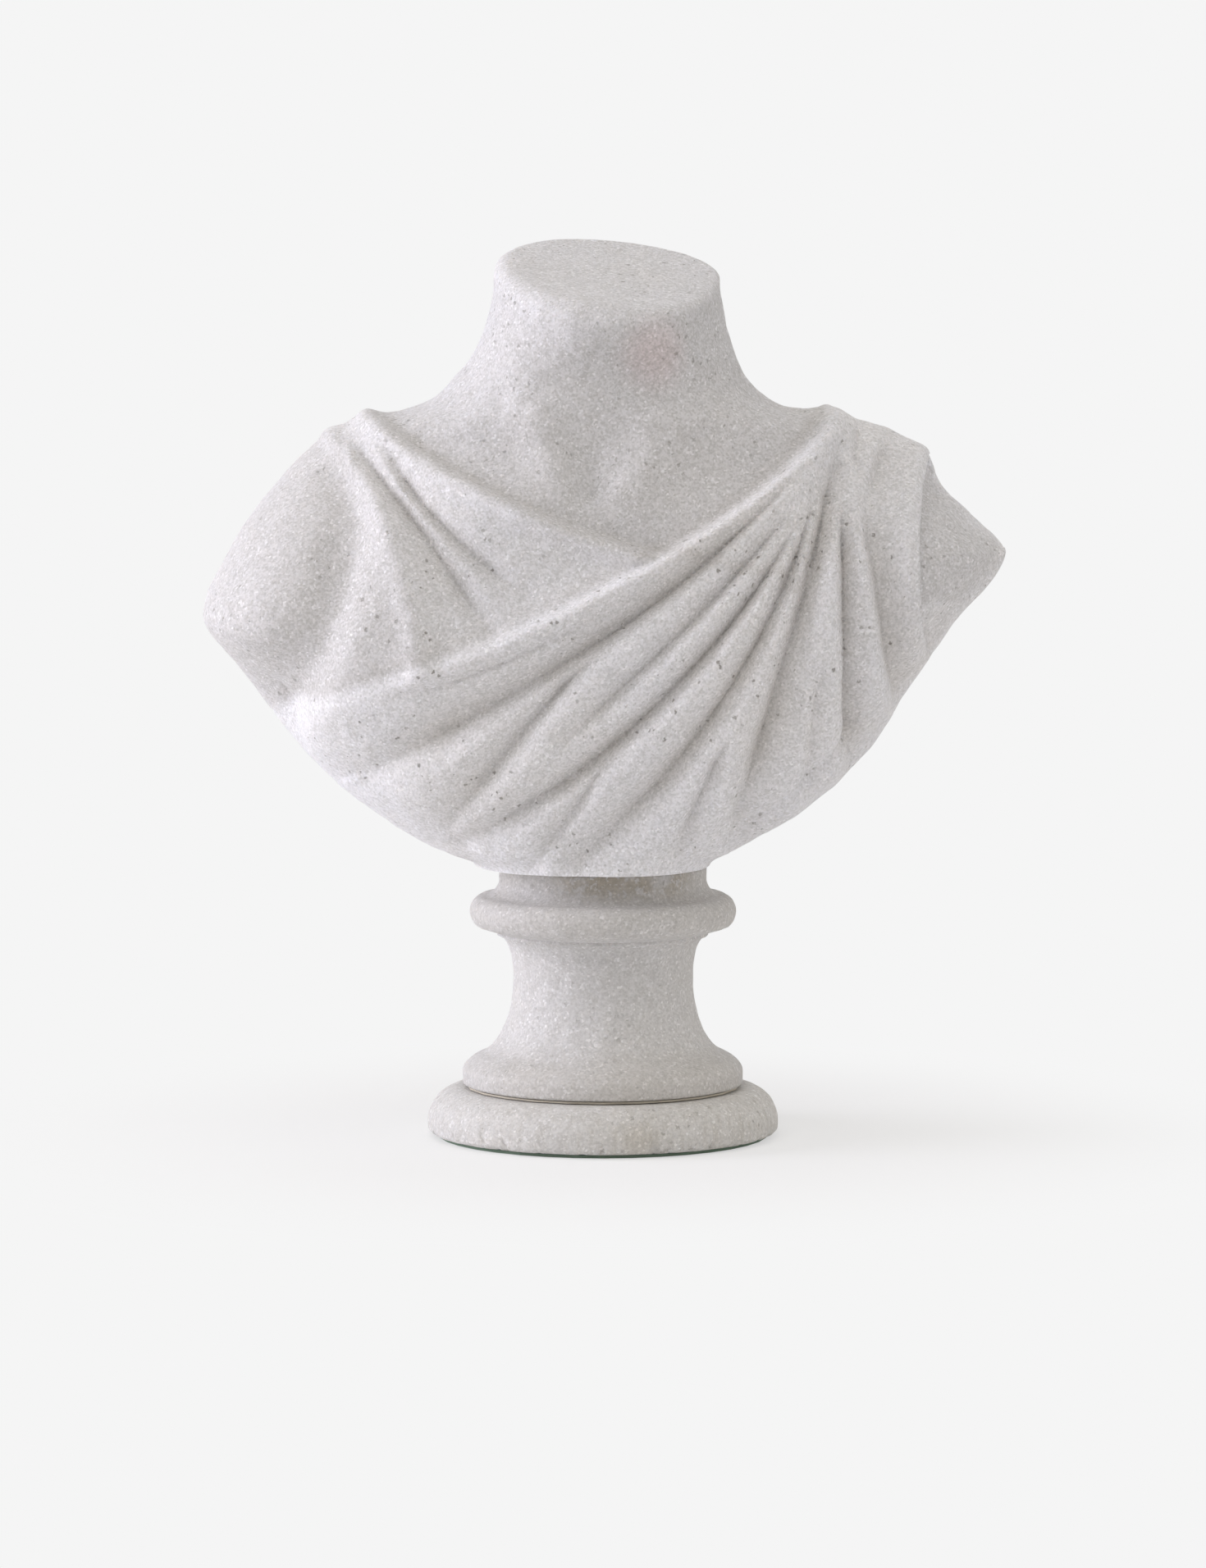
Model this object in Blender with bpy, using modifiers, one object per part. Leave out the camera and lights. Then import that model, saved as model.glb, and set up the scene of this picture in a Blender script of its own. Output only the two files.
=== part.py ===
"""Draped marble bust on a turned socle: stones, bedding, tie rod and felt, in metres, +Z up, front to -Y."""

import math

import bmesh
import bpy
import numpy as np

GAP = 0.0003

# Plinth and felt
FELT_THICKNESS = 0.0010
FELT_INSET = 0.0035
PLINTH_RADIUS = 0.0600
PLINTH_HEIGHT = 0.0153
PLINTH_TOP_ROUND = 0.0112
PLINTH_FOOT_ROUND = 0.0022

# Socle, heights from its own underside
SOCLE_HEIGHT = 0.0749
FOOT_RADIUS = 0.0480
FOOT_EDGE = 0.0040
FOOT_HEIGHT = 0.0105
FOOT_EASE = 0.0010
FOOT_SWELL = 42
SCOTIA_REACH = 0.0140
SCOTIA_TURN = 77.5
WAIST_RADIUS = 0.0306
WAIST_HEIGHT = 0.0374
WAIST_SHOULDER = 0.0055
RING_RADIUS = 0.0455
RING_HEIGHT = 0.0594
RING_EDGE = 0.0055
RING_ROUND = 0.0045
RING_UNDERSIDE = 0.0514
COLLAR_RADIUS = 0.0355
COLLAR_HEIGHT = 0.0045
COLLAR_CHAMFER = 0.0008

# Bedding and tie rod
PLINTH_BED = 0.0006
BUST_BED = 0.0008
BED_INSET = 0.0012
PLINTH_BED_INSET = 0.0012
ROD_RADIUS = 0.0040
ROD_IN_BUST = 0.0450
ROD_BELOW_NUT = 0.0010
BORE_CLEARANCE = 0.0006
RESIN_WALL = 0.0015
NUT_FLATS = 0.0130
NUT_HEIGHT = 0.0040
WASHER_RADIUS = 0.0120
WASHER_THICKNESS = 0.0016
COUNTERBORE_CLEARANCE = 0.0015

# Bust, heights from its seat
ARM_REACH_LEFT = 0.1360
ARM_REACH_RIGHT = 0.1370
CHEST_DEPTH = 0.0655
BACK_DEPTH = 0.0620
NECK_LEFT = 0.0370
NECK_RIGHT = 0.0395
NECK_FRONT = 0.0475
NECK_BACK = 0.0270
NECK_CUT_HEIGHT = 0.1980
NECK_CUT_TILT = 0.318
NECK_CUT_DROP = 0.073
NECK_RIM = 0.0025
BUST_TRIANGLES = 9500

# Drapery
LAYER_STEP = 0.0030
ROLL_RISE = 0.0044
ROLL_WIDTH_SHOULDER = 0.0042
ROLL_WIDTH_ARM = 0.0044
NECKLINE_RISE = 0.0030
NECKLINE_WIDTH = 0.0028
SIDE_HEM_STEP = 0.0045
SIDE_HEM_RISE = 0.0020
SIDE_HEM_WIDTH = 0.0040
LOWER_HEM_STEP = 0.0030

# Cutters run past what they cut
CUT_PAST = 0.0100
SEAT_WASTE = 0.0040
SEAT_CUT_REACH = 0.3000
RESIN_END_ROOM = 0.0030

# Front view of the bust: height against reach to the viewer's left and right of the socle's axis
LEFT_OUTLINE = (
    (0.000, 0.0440),
    (0.007, 0.0600),
    (0.023, 0.0840),
    (0.036, 0.0985),
    (0.068, 0.1240),
    (0.085, ARM_REACH_LEFT),
    (0.107, 0.1272),
    (0.130, 0.1110),
    (0.146, 0.0945),
    (0.152, 0.0830),
    (0.158, 0.0620),
    (0.164, 0.0520),
    (0.175, 0.0424),
    (NECK_CUT_HEIGHT, NECK_LEFT),
)
RIGHT_OUTLINE = (
    (0.000, 0.0365),
    (0.007, 0.0480),
    (0.018, 0.0670),
    (0.040, 0.0910),
    (0.057, 0.1020),
    (0.080, 0.1174),
    (0.107, ARM_REACH_RIGHT),
    (0.119, 0.1266),
    (0.130, 0.1155),
    (0.141, 0.1100),
    (0.147, 0.0998),
    (0.152, 0.0850),
    (0.158, 0.0615),
    (0.164, 0.0514),
    (0.175, 0.0444),
    (NECK_CUT_HEIGHT, NECK_RIGHT),
)

# Side view of the bust: height against depth before and behind the socle's axis
FRONT_PROFILE = (
    (0.000, 0.0490),
    (0.030, 0.0590),
    (0.075, CHEST_DEPTH),
    (0.120, 0.0540),
    (0.150, 0.0420),
    (0.165, 0.0410),
    (NECK_CUT_HEIGHT, NECK_FRONT),
)
BACK_PROFILE = (
    (0.000, 0.0370),
    (0.030, 0.0510),
    (0.085, BACK_DEPTH),
    (0.125, 0.0560),
    (0.152, 0.0430),
    (0.170, 0.0350),
    (NECK_CUT_HEIGHT, NECK_BACK),
)
SQUARENESS = (
    (0.000, 2.4),
    (0.030, 3.0),
    (0.070, 2.9),
    (0.115, 2.4),
    (0.148, 1.75),
    (0.160, 1.75),
    (0.175, 2.0),
)


def follow(knots, at):
    """Smooth curve through the knots that never swings past them, held level outside."""
    x, y = np.array(knots).T
    step = np.diff(x)
    slope = np.diff(y) / step
    before, after = slope[:-1], slope[1:]
    level = before * after <= 0
    inner = np.where(level, 0, 2 * before * after / np.where(level, 1, before + after))
    tangent = np.concatenate([[0], inner, [0]])
    at = np.clip(at, x[0], x[-1])
    i = np.clip(np.searchsorted(x, at, "right") - 1, 0, len(step) - 1)
    t = (at - x[i]) / step[i]
    return (
        y[i] * (1 + 2 * t) * (1 - t) ** 2
        + y[i + 1] * t**2 * (3 - 2 * t)
        + step[i] * (tangent[i] * t * (1 - t) ** 2 - tangent[i + 1] * t**2 * (1 - t))
    )


def ramp(low, high, at):
    t = np.clip((at - low) / (high - low), 0, 1)
    return t * t * (3 - 2 * t)


def section(height, front, columns):
    """Half of a level section, from the left arm to the right, in even steps along its length."""
    turn = np.linspace(math.pi, 0, 721)
    power = 2 / follow(SQUARENESS, height)
    across = np.sign(np.cos(turn)) * np.abs(np.cos(turn)) ** power
    out = np.abs(np.sin(turn)) ** power
    left, right = follow(LEFT_OUTLINE, height), follow(RIGHT_OUTLINE, height)
    depth = -follow(FRONT_PROFILE, height) if front else follow(BACK_PROFILE, height)
    x = np.where(across < 0, left, right) * across
    y = depth * out
    length = np.concatenate([[0], np.cumsum(np.hypot(np.diff(x), np.diff(y)))])
    even = np.linspace(0, length[-1], columns + 1)
    return np.interp(even, length, x), np.interp(even, length, y)


def bust_grid(front_columns, back_columns, rows):
    """Rings of points from the seat to the neck cut, as an array of rows by columns by x, y, z."""
    fine = np.linspace(0, NECK_CUT_HEIGHT, 801)
    reach = (follow(LEFT_OUTLINE, fine) + follow(RIGHT_OUTLINE, fine)) / 2
    run = np.concatenate([[0], np.cumsum(np.hypot(np.diff(fine), np.diff(reach)))])
    heights = np.interp(np.linspace(0, run[-1], rows), run, fine)
    grid = np.empty((rows, front_columns + back_columns, 3))
    for row, height in enumerate(heights):
        x, y = section(height, True, front_columns)
        back_x, back_y = section(height, False, back_columns)
        grid[row, :, 0] = np.concatenate([x[:-1], back_x[:0:-1]])
        grid[row, :, 1] = np.concatenate([y[:-1], back_y[:0:-1]])
        lean = ramp(0.155, NECK_CUT_HEIGHT, height)
        middle = (NECK_BACK - NECK_FRONT) / 2
        tilt = NECK_CUT_TILT * (grid[row, :, 1] - middle) - NECK_CUT_DROP * grid[row, :, 0]
        grid[row, :, 2] = height + lean * tilt
    return grid


def normals_of(grid):
    along = np.roll(grid, -1, axis=1) - np.roll(grid, 1, axis=1)
    up = np.gradient(grid, axis=0)
    normal = np.cross(along, up)
    return normal / np.linalg.norm(normal, axis=2, keepdims=True)


def trace(start, bend, end):
    """Points along a bent line in the front view."""
    t = np.linspace(0, 1, 25)[:, None]
    start, bend, end = np.array(start), np.array(bend), np.array(end)
    return start * (1 - t) ** 2 + bend * 2 * t * (1 - t) + end * t**2


def measure(line, x, z):
    """Share along the line of the nearest place on it, and the distance, positive on its upper side."""
    nearest = np.full(x.shape, np.inf)
    share = np.zeros(x.shape)
    side = np.zeros(x.shape)
    for i, (a, b) in enumerate(zip(line[:-1], line[1:])):
        run = b - a
        t = np.clip(((x - a[0]) * run[0] + (z - a[1]) * run[1]) / (run @ run), 0, 1)
        away_x, away_z = x - a[0] - t * run[0], z - a[1] - t * run[1]
        distance = np.hypot(away_x, away_z)
        closer = distance < nearest
        nearest = np.where(closer, distance, nearest)
        share = np.where(closer, (i + t) / (len(line) - 1), share)
        side = np.where(closer, np.sign(run[1] * away_x - run[0] * away_z), side)
    return share, nearest * np.where(side == 0, 1, side)


# Upper edge of the outer garment and of the inner one, and the outer one's hems on the viewer's right
ROLL = trace((0.078, 0.153), (0.001, 0.085), (-0.098, 0.055))
NECKLINE = trace((0.060, 0.098), (-0.030, 0.112), (-0.080, 0.152))
SIDE_HEM = trace((0.110, 0.138), (0.101, 0.106), (0.113, 0.062))
LOWER_HEM = trace((0.088, 0.034), (0.058, 0.023), (0.030, 0.003))
BACK_ROLL = trace((0.078, 0.153), (0.030, 0.090), (-0.092, 0.052))
BACK_NECKLINE = trace((0.060, 0.104), (-0.040, 0.118), (-0.080, 0.152))

# Valleys between the folds: start, bend, end, width at the start and at the end, depth, right side's share
FRONT_FOLDS = (
    ((0.059, 0.127), (0.000, 0.082), (-0.070, 0.060), 0.0015, 0.0026, 0.0028, 1.0),
    ((0.057, 0.124), (-0.006, 0.071), (-0.080, 0.034), 0.0030, 0.0100, 0.0066, 0.55),
    ((0.001, 0.079), (-0.028, 0.050), (-0.052, 0.016), 0.0026, 0.0070, 0.0052, 0.7),
    ((0.056, 0.115), (0.024, 0.079), (-0.012, 0.047), 0.0026, 0.0052, 0.0046, 0.7),
    ((0.063, 0.115), (0.023, 0.047), (-0.047, 0.010), 0.0026, 0.0062, 0.0062, 0.7),
    ((0.005, 0.046), (-0.007, 0.024), (-0.022, 0.005), 0.0024, 0.0052, 0.0036, 0.8),
    ((0.070, 0.130), (0.052, 0.055), (-0.008, 0.005), 0.0020, 0.0072, 0.0062, 0.7),
    ((0.042, 0.047), (0.033, 0.028), (0.026, 0.008), 0.0022, 0.0036, 0.0036, 1.0),
    ((0.080, 0.147), (0.066, 0.082), (0.046, 0.018), 0.0024, 0.0050, 0.0070, 1.3),
    ((0.073, 0.070), (0.071, 0.050), (0.069, 0.030), 0.0018, 0.0030, 0.0032, 1.3),
    ((0.081, 0.133), (0.081, 0.084), (0.087, 0.030), 0.0018, 0.0038, 0.0062, 1.7),
    ((0.088, 0.131), (0.093, 0.095), (0.104, 0.050), 0.0032, 0.0036, 0.0056, 2.4),
    ((0.100, 0.090), (0.100, 0.074), (0.106, 0.052), 0.0020, 0.0026, 0.0018, 1.2),
    ((0.087, 0.151), (0.086, 0.143), (0.086, 0.135), 0.0022, 0.0022, 0.0034, 1.2),
    ((0.097, 0.146), (0.094, 0.136), (0.090, 0.127), 0.0030, 0.0030, 0.0042, 1.8),
    ((-0.085, 0.145), (-0.060, 0.119), (-0.037, 0.083), 0.0022, 0.0050, 0.0044, 0.8),
    ((-0.074, 0.144), (-0.056, 0.117), (-0.026, 0.097), 0.0020, 0.0054, 0.0044, 0.8),
)
BACK_FOLDS = (
    ((0.083, 0.151), (0.060, 0.090), (-0.060, 0.040), 0.0040, 0.0085, 0.0044, 0.8),
    ((0.090, 0.140), (0.070, 0.070), (-0.030, 0.010), 0.0040, 0.0085, 0.0046, 0.8),
    ((0.097, 0.130), (0.085, 0.070), (0.020, 0.008), 0.0040, 0.0085, 0.0044, 0.8),
    ((0.100, 0.110), (0.098, 0.070), (0.065, 0.022), 0.0040, 0.0075, 0.0034, 0.8),
)
# Softer forms: throat, neck muscle, collar bone, the hollows beside them, the inner garment's outer ridge and
# the hollow of the arm. Start, bend, end, two widths, two depths (negative rises), right side's share.
SOFT_FORMS = (
    ((0.004, 0.176), (0.002, 0.151), (-0.0055, 0.134), 0.018, 0.0085, 0.0010, 0.0046, 1.0),
    ((-0.030, 0.178), (-0.023, 0.146), (-0.012, 0.133), 0.008, 0.006, -0.0012, -0.0022, 1.0),
    ((0.028, 0.152), (0.018, 0.138), (0.006, 0.132), 0.009, 0.007, -0.0006, -0.0014, 1.0),
    ((0.030, 0.136), (0.036, 0.136), (0.047, 0.141), 0.012, 0.012, 0.0018, 0.0016, 1.0),
    ((-0.036, 0.142), (-0.048, 0.146), (-0.061, 0.145), 0.012, 0.012, 0.0016, 0.0022, 1.0),
    ((-0.094, 0.148), (-0.064, 0.116), (-0.061, 0.072), 0.0038, 0.0072, -0.0016, -0.0024, 1.0),
    ((-0.078, 0.131), (-0.079, 0.097), (-0.116, 0.046), 0.014, 0.020, 0.0005, 0.0125, 0.70),
)


def layer_edge(line, x, z, step, rise, near, far):
    """A garment's rolled upper edge: the body sinks above it and the edge stands proud."""
    share, above = measure(line, x, z)
    wide = near + (far - near) * share
    sunk = step * ramp(0.001, 0.006, above) * (1 - ramp(0.010, 0.045, above)) * ramp(0, 0.06, share)
    return rise * np.exp(-((above / wide) ** 2)) * ramp(-0.03, 0.03, share) - sunk


def garments(roll, neckline, x, z):
    """The outer garment's roll, and the inner one's neckline where the roll leaves it bare."""
    height = layer_edge(roll, x, z, LAYER_STEP, ROLL_RISE, ROLL_WIDTH_SHOULDER, ROLL_WIDTH_ARM)
    bare = ramp(0.003, 0.008, measure(roll, x, z)[1])
    edge = layer_edge(neckline, x, z, NECKLINE_RISE, NECKLINE_RISE, NECKLINE_WIDTH, NECKLINE_WIDTH)
    return height + bare * edge


def fold_valleys(folds, x, z):
    """Valleys that start fine at the gathers and widen to the hem. The deeper wins where two meet."""
    powers = np.zeros(x.shape)
    for start, bend, end, near, far, depth, right_share in folds:
        share, off = measure(trace(start, bend, end), x, z)
        wide = (near + (far - near) * share) * np.where(off < 0, right_share, 1)
        deep = depth * ramp(-0.10, 0.14, share) * (1 - 0.6 * ramp(0.75, 1.0, share))
        powers += (deep * np.exp(-(np.abs(off / wide) ** 1.4))) ** 3
    return np.cbrt(powers)


def soft_forms(x, z):
    depth_here = np.zeros(x.shape)
    for start, bend, end, near, far, first, last, right_share in SOFT_FORMS:
        share, off = measure(trace(start, bend, end), x, z)
        wide = (near + (far - near) * share) * np.where(off < 0, right_share, 1)
        depth_here += (first + (last - first) * share) * np.exp(-((off / wide) ** 2))
    return depth_here


def hems(x, z):
    """The outer garment's rounded side hem and the thin rim left under its lower hem."""
    _, inside = measure(SIDE_HEM, x, z)
    height = SIDE_HEM_RISE * np.exp(-((inside / SIDE_HEM_WIDTH - 1) ** 2))
    height -= SIDE_HEM_STEP * ramp(-0.0005, 0.002, -inside)
    height *= 1 - ramp(0.126, 0.142, z)
    _, over = measure(LOWER_HEM, x, z)
    return height - LOWER_HEM_STEP * ramp(0, 0.0012, -over) * ramp(0.025, 0.045, x)


def drape(grid):
    """Moves the rings' points along their normals: garment layers, the rolled edge, folds and body forms."""
    normal = normals_of(grid)
    x, z = grid[:, :, 0], grid[:, :, 2]
    upward = ramp(0.0, 0.5, normal[:, :, 2])
    front = ramp(0.10 - 0.35 * upward, 0.45 - 0.15 * upward, -normal[:, :, 1])
    back = ramp(0.10 - 0.35 * upward, 0.45 - 0.15 * upward, normal[:, :, 1])
    before = garments(ROLL, NECKLINE, x, z) + hems(x, z)
    before -= fold_valleys(FRONT_FOLDS, x, z) + soft_forms(x, z)
    behind = garments(BACK_ROLL, BACK_NECKLINE, x, z) - fold_valleys(BACK_FOLDS, x, z)
    return grid + normal * (before * front + behind * back)[:, :, None]


def closed_rings(name, rings, low, high):
    """Mesh of stacked rings, closed to one point at each end."""
    rows, columns = rings.shape[:2]
    points = np.concatenate([rings.reshape(-1, 3), [low, high]])
    faces = []
    for row in range(rows - 1):
        for column in range(columns):
            a = row * columns + column
            b = row * columns + (column + 1) % columns
            faces.append((a, b, b + columns, a + columns))
    last = (rows - 1) * columns
    for column in range(columns):
        after = (column + 1) % columns
        faces.append((rows * columns, after, column))
        faces.append((rows * columns + 1, last + column, last + after))
    mesh = bpy.data.meshes.new(name)
    mesh.from_pydata(points.tolist(), [], faces)
    return mesh


def colour(name, value, roughness, metallic=0.0):
    material = bpy.data.materials.new(name)
    material.use_nodes = True
    shader = material.node_tree.nodes["Principled BSDF"]
    shader.inputs["Base Color"].default_value = (*value, 1)
    shader.inputs["Roughness"].default_value = roughness
    shader.inputs["Metallic"].default_value = metallic
    return material


def add(name, mesh, collection, material=None):
    obj = bpy.data.objects.new(name, mesh)
    collection.objects.link(obj)
    if material:
        mesh.materials.append(material)
    else:
        obj.hide_render = True
        obj.display_type = "WIRE"
    return obj


def turned(name, profile, collection, material=None, steps=36):
    """Closed profile of radius and height pairs, top to bottom on the outside, turned about the Z axis."""
    mesh = bpy.data.meshes.new(name)
    count = len(profile)
    mesh.from_pydata([(r, 0, z) for r, z in profile], [(i, (i + 1) % count) for i in range(count)], [])
    obj = add(name, mesh, collection, material)
    screw = obj.modifiers.new("turn", "SCREW")
    screw.steps = screw.render_steps = steps
    screw.use_merge_vertices = True
    screw.merge_threshold = 0.00001
    return obj


def arc(middle, radii, first, last, count):
    angles = np.radians(np.linspace(first, last, count))
    return [(middle[0] + radii[0] * math.cos(a), middle[1] + radii[1] * math.sin(a)) for a in angles]


def ring(inner, outer, low, high):
    return [(inner, high), (outer, high), (outer, low), (inner, low)]


def lifted(profile, height):
    return [(r, z + height) for r, z in profile]


def subtract(obj, cutter):
    cut = obj.modifiers.new("cut " + cutter.name, "BOOLEAN")
    cut.object = cutter
    cut.operation = "DIFFERENCE"
    cut.solver = "EXACT"


def prism(name, sides, radius, low, high, collection, material=None):
    mesh = bpy.data.meshes.new(name)
    shape = bmesh.new()
    bmesh.ops.create_cone(
        shape, cap_ends=True, segments=sides, radius1=radius, radius2=radius, depth=high - low
    )
    bmesh.ops.translate(shape, verts=shape.verts, vec=(0, 0, (low + high) / 2))
    shape.to_mesh(mesh)
    shape.free()
    return add(name, mesh, collection, material)


for obj in list(bpy.data.objects):
    bpy.data.objects.remove(obj)
PARTS = bpy.data.collections.new("marble_bust")
CUTTERS = bpy.data.collections.new("cutters")
bpy.context.scene.collection.children.link(PARTS)
bpy.context.scene.collection.children.link(CUTTERS)

MARBLE = colour("marble", (0.74, 0.73, 0.73), 0.60)
PLINTH_MARBLE = colour("plinth_marble", (0.72, 0.71, 0.70), 0.60)
RESIN = colour("bedding_resin", (0.55, 0.50, 0.41), 0.55)
STEEL = colour("zinc_steel", (0.62, 0.63, 0.65), 0.35, 1.0)
FELT = colour("felt", (0.10, 0.16, 0.11), 0.95)

# Heights of the stack, each piece on the one below
plinth_low = FELT_THICKNESS + GAP
plinth_top = plinth_low + PLINTH_HEIGHT
socle_low = plinth_top + GAP + PLINTH_BED + GAP
socle_top = socle_low + SOCLE_HEIGHT
seat = socle_top + GAP + BUST_BED + GAP

bore = ROD_RADIUS + BORE_CLEARANCE
resin_bore = ROD_RADIUS + GAP + RESIN_WALL + GAP
well_radius = WASHER_RADIUS + COUNTERBORE_CLEARANCE
well_height = ROD_BELOW_NUT + NUT_HEIGHT + GAP + WASHER_THICKNESS + GAP + COUNTERBORE_CLEARANCE
rod_low = plinth_low + COUNTERBORE_CLEARANCE
washer_top = plinth_low + well_height - GAP
rod_high = seat + ROD_IN_BUST

turned("felt_disc", [(0, FELT_THICKNESS), (PLINTH_RADIUS - FELT_INSET, FELT_THICKNESS),
                     (PLINTH_RADIUS - FELT_INSET, 0), (0, 0)], PARTS, FELT)

plinth_profile = [(bore, PLINTH_HEIGHT)]
plinth_profile += arc(
    (PLINTH_RADIUS - PLINTH_TOP_ROUND, PLINTH_HEIGHT - PLINTH_TOP_ROUND),
    (PLINTH_TOP_ROUND, PLINTH_TOP_ROUND), 90, 0, 8,
)
plinth_profile += arc(
    (PLINTH_RADIUS - PLINTH_FOOT_ROUND, PLINTH_FOOT_ROUND),
    (PLINTH_FOOT_ROUND, PLINTH_FOOT_ROUND), 0, -90, 3,
)
plinth_profile += [(well_radius, 0), (well_radius, well_height), (bore, well_height)]
turned("plinth", lifted(plinth_profile, plinth_low), PARTS, PLINTH_MARBLE)

plinth_bed_radius = FOOT_RADIUS - PLINTH_BED_INSET
turned("plinth_bedding", ring(bore, plinth_bed_radius, plinth_top + GAP, socle_low - GAP), PARTS, RESIN, 24)

ring_foot = RING_RADIUS - RING_ROUND
collar_end = SOCLE_HEIGHT - COLLAR_HEIGHT
scotia_turn, foot_swell = math.radians(SCOTIA_TURN), math.radians(FOOT_SWELL)
scotia_drop = (WAIST_HEIGHT - FOOT_HEIGHT) / math.sin(scotia_turn)
scotia_end = WAIST_RADIUS + SCOTIA_REACH * (1 - math.cos(scotia_turn))
swell_reach = (FOOT_RADIUS - scotia_end) / (1 - math.cos(foot_swell))
swell_rise = (FOOT_HEIGHT - FOOT_EDGE) / math.sin(foot_swell)
socle_profile = [(bore, SOCLE_HEIGHT), (COLLAR_RADIUS - COLLAR_CHAMFER, SOCLE_HEIGHT)]
socle_profile += [(COLLAR_RADIUS, SOCLE_HEIGHT - COLLAR_CHAMFER)]
socle_profile += arc(
    (ring_foot, collar_end), (ring_foot - COLLAR_RADIUS, collar_end - RING_HEIGHT - RING_EDGE), 180, 262, 6
)
socle_profile += arc((ring_foot, RING_HEIGHT), (RING_RADIUS - ring_foot, RING_EDGE), 78, -60, 9)
socle_profile += [(ring_foot - WAIST_SHOULDER + FOOT_EASE / 2, RING_UNDERSIDE + FOOT_EASE)]
socle_profile += arc(
    (WAIST_RADIUS + WAIST_SHOULDER, WAIST_HEIGHT), (WAIST_SHOULDER, RING_UNDERSIDE - WAIST_HEIGHT), 90, 174, 6
)
socle_profile += arc(
    (WAIST_RADIUS + SCOTIA_REACH, WAIST_HEIGHT), (SCOTIA_REACH, scotia_drop), 180, 180 + SCOTIA_TURN, 9
)
socle_profile += arc((FOOT_RADIUS - swell_reach, FOOT_EDGE), (swell_reach, swell_rise), FOOT_SWELL, 0, 6)[1:]
socle_profile += arc((FOOT_RADIUS - FOOT_EASE, FOOT_EASE), (FOOT_EASE, FOOT_EASE), 0, -90, 3)
socle_profile += [(bore, 0)]
turned("socle", lifted(socle_profile, socle_low), PARTS, MARBLE)

turned("bust_bedding", ring(bore, COLLAR_RADIUS - BED_INSET, socle_top + GAP, seat - GAP), PARTS, RESIN, 24)

prism("tie_rod", 24, ROD_RADIUS, rod_low, rod_high, PARTS, STEEL)
turned("rod_washer", ring(bore, WASHER_RADIUS, washer_top - WASHER_THICKNESS, washer_top), PARTS, STEEL, 24)
nut_top = washer_top - WASHER_THICKNESS - GAP
nut = prism("rod_nut", 6, NUT_FLATS / math.sqrt(3), nut_top - NUT_HEIGHT, nut_top, PARTS, STEEL)
nut_bore = prism(
    "nut_bore", 24, ROD_RADIUS + GAP, nut_top - NUT_HEIGHT - CUT_PAST, nut_top + CUT_PAST, CUTTERS
)
subtract(nut, nut_bore)
turned("rod_resin", ring(ROD_RADIUS + GAP, resin_bore - GAP, seat + GAP, rod_high - GAP), PARTS, RESIN, 24)

# The bust is lofted finely, thinned to the folds, then cut level at its seat and bored for the rod
shape = drape(bust_grid(250, 120, 140))
below = shape[:1] - (0, 0, SEAT_WASTE)
top = shape[-1:]
centre = top.mean(axis=1, keepdims=True)
inset = NECK_RIM / NECK_LEFT
rims = [centre + (top - centre) * (1 - inset * share) + (0, 0, NECK_RIM * rise)
        for share, rise in ((0.3, 0.7), (1.0, 1.0), (9.0, 1.0))]
shape = np.concatenate([below, shape] + rims)
shape[:, :, 2] += seat
bust_mesh = closed_rings("bust", shape, shape[0].mean(axis=0), shape[-1].mean(axis=0))
bust = add("bust", bust_mesh, PARTS, MARBLE)
soften = bust.modifiers.new("soften", "SMOOTH")
soften.factor = 0.5
soften.iterations = 5
thin = bust.modifiers.new("thin", "DECIMATE")
thin.ratio = BUST_TRIANGLES / (2 * len(bust_mesh.polygons))
base = prism("seat_cut", 4, SEAT_CUT_REACH, seat - CUT_PAST, seat, CUTTERS)
subtract(bust, base)
hole = prism("rod_hole", 32, resin_bore, seat - CUT_PAST, rod_high + GAP + RESIN_END_ROOM, CUTTERS)
subtract(bust, hole)
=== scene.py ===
import math

import bpy
import numpy as np
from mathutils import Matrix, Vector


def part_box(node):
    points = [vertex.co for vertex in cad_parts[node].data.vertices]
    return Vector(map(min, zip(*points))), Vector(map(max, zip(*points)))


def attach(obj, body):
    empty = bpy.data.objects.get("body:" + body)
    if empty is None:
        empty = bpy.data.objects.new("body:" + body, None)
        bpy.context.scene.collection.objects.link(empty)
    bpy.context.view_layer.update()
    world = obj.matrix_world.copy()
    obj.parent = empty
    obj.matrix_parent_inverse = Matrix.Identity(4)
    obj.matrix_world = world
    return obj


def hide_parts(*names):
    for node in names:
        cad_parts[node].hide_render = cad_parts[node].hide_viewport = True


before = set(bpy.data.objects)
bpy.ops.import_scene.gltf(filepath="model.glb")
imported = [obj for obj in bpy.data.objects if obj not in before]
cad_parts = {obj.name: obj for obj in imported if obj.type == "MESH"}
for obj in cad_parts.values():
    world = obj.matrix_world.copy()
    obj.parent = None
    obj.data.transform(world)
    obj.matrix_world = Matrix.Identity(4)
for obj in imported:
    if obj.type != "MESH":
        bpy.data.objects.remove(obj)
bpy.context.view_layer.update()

# The bust is one block of white, sugar-grained marble: neck, shoulders, short arms and a draped chest.
# It is carved in the round, so its skin is one closed sheet of rings from the rod's bore, over the flat
# seat, up the body and over the rounded rim of the neck cut. It stands in resin on the socle.
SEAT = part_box("bust")[0][2]
ROD_BORE = 0.0061
ROD_BORE_DEPTH = 0.0483
NECK_CUT = 0.1980
NECK_TILT = 0.318
NECK_DROP = 0.073
NECK_LEAN_FROM = 0.155
NECK_RIM = 0.0022
NECK_RIM_WORN = 0.0060
NECK_WEAR_FROM = 0.165
NECK_WEAR_TURN = 144
NECK_WEAR = -0.1, 0.8
FACE_RINGS = 0.86, 0.7, 0.5, 0.3, 0.12, 0.0
RASP_DEPTH = 0.00012
FRONT_COLUMNS = 322
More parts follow.
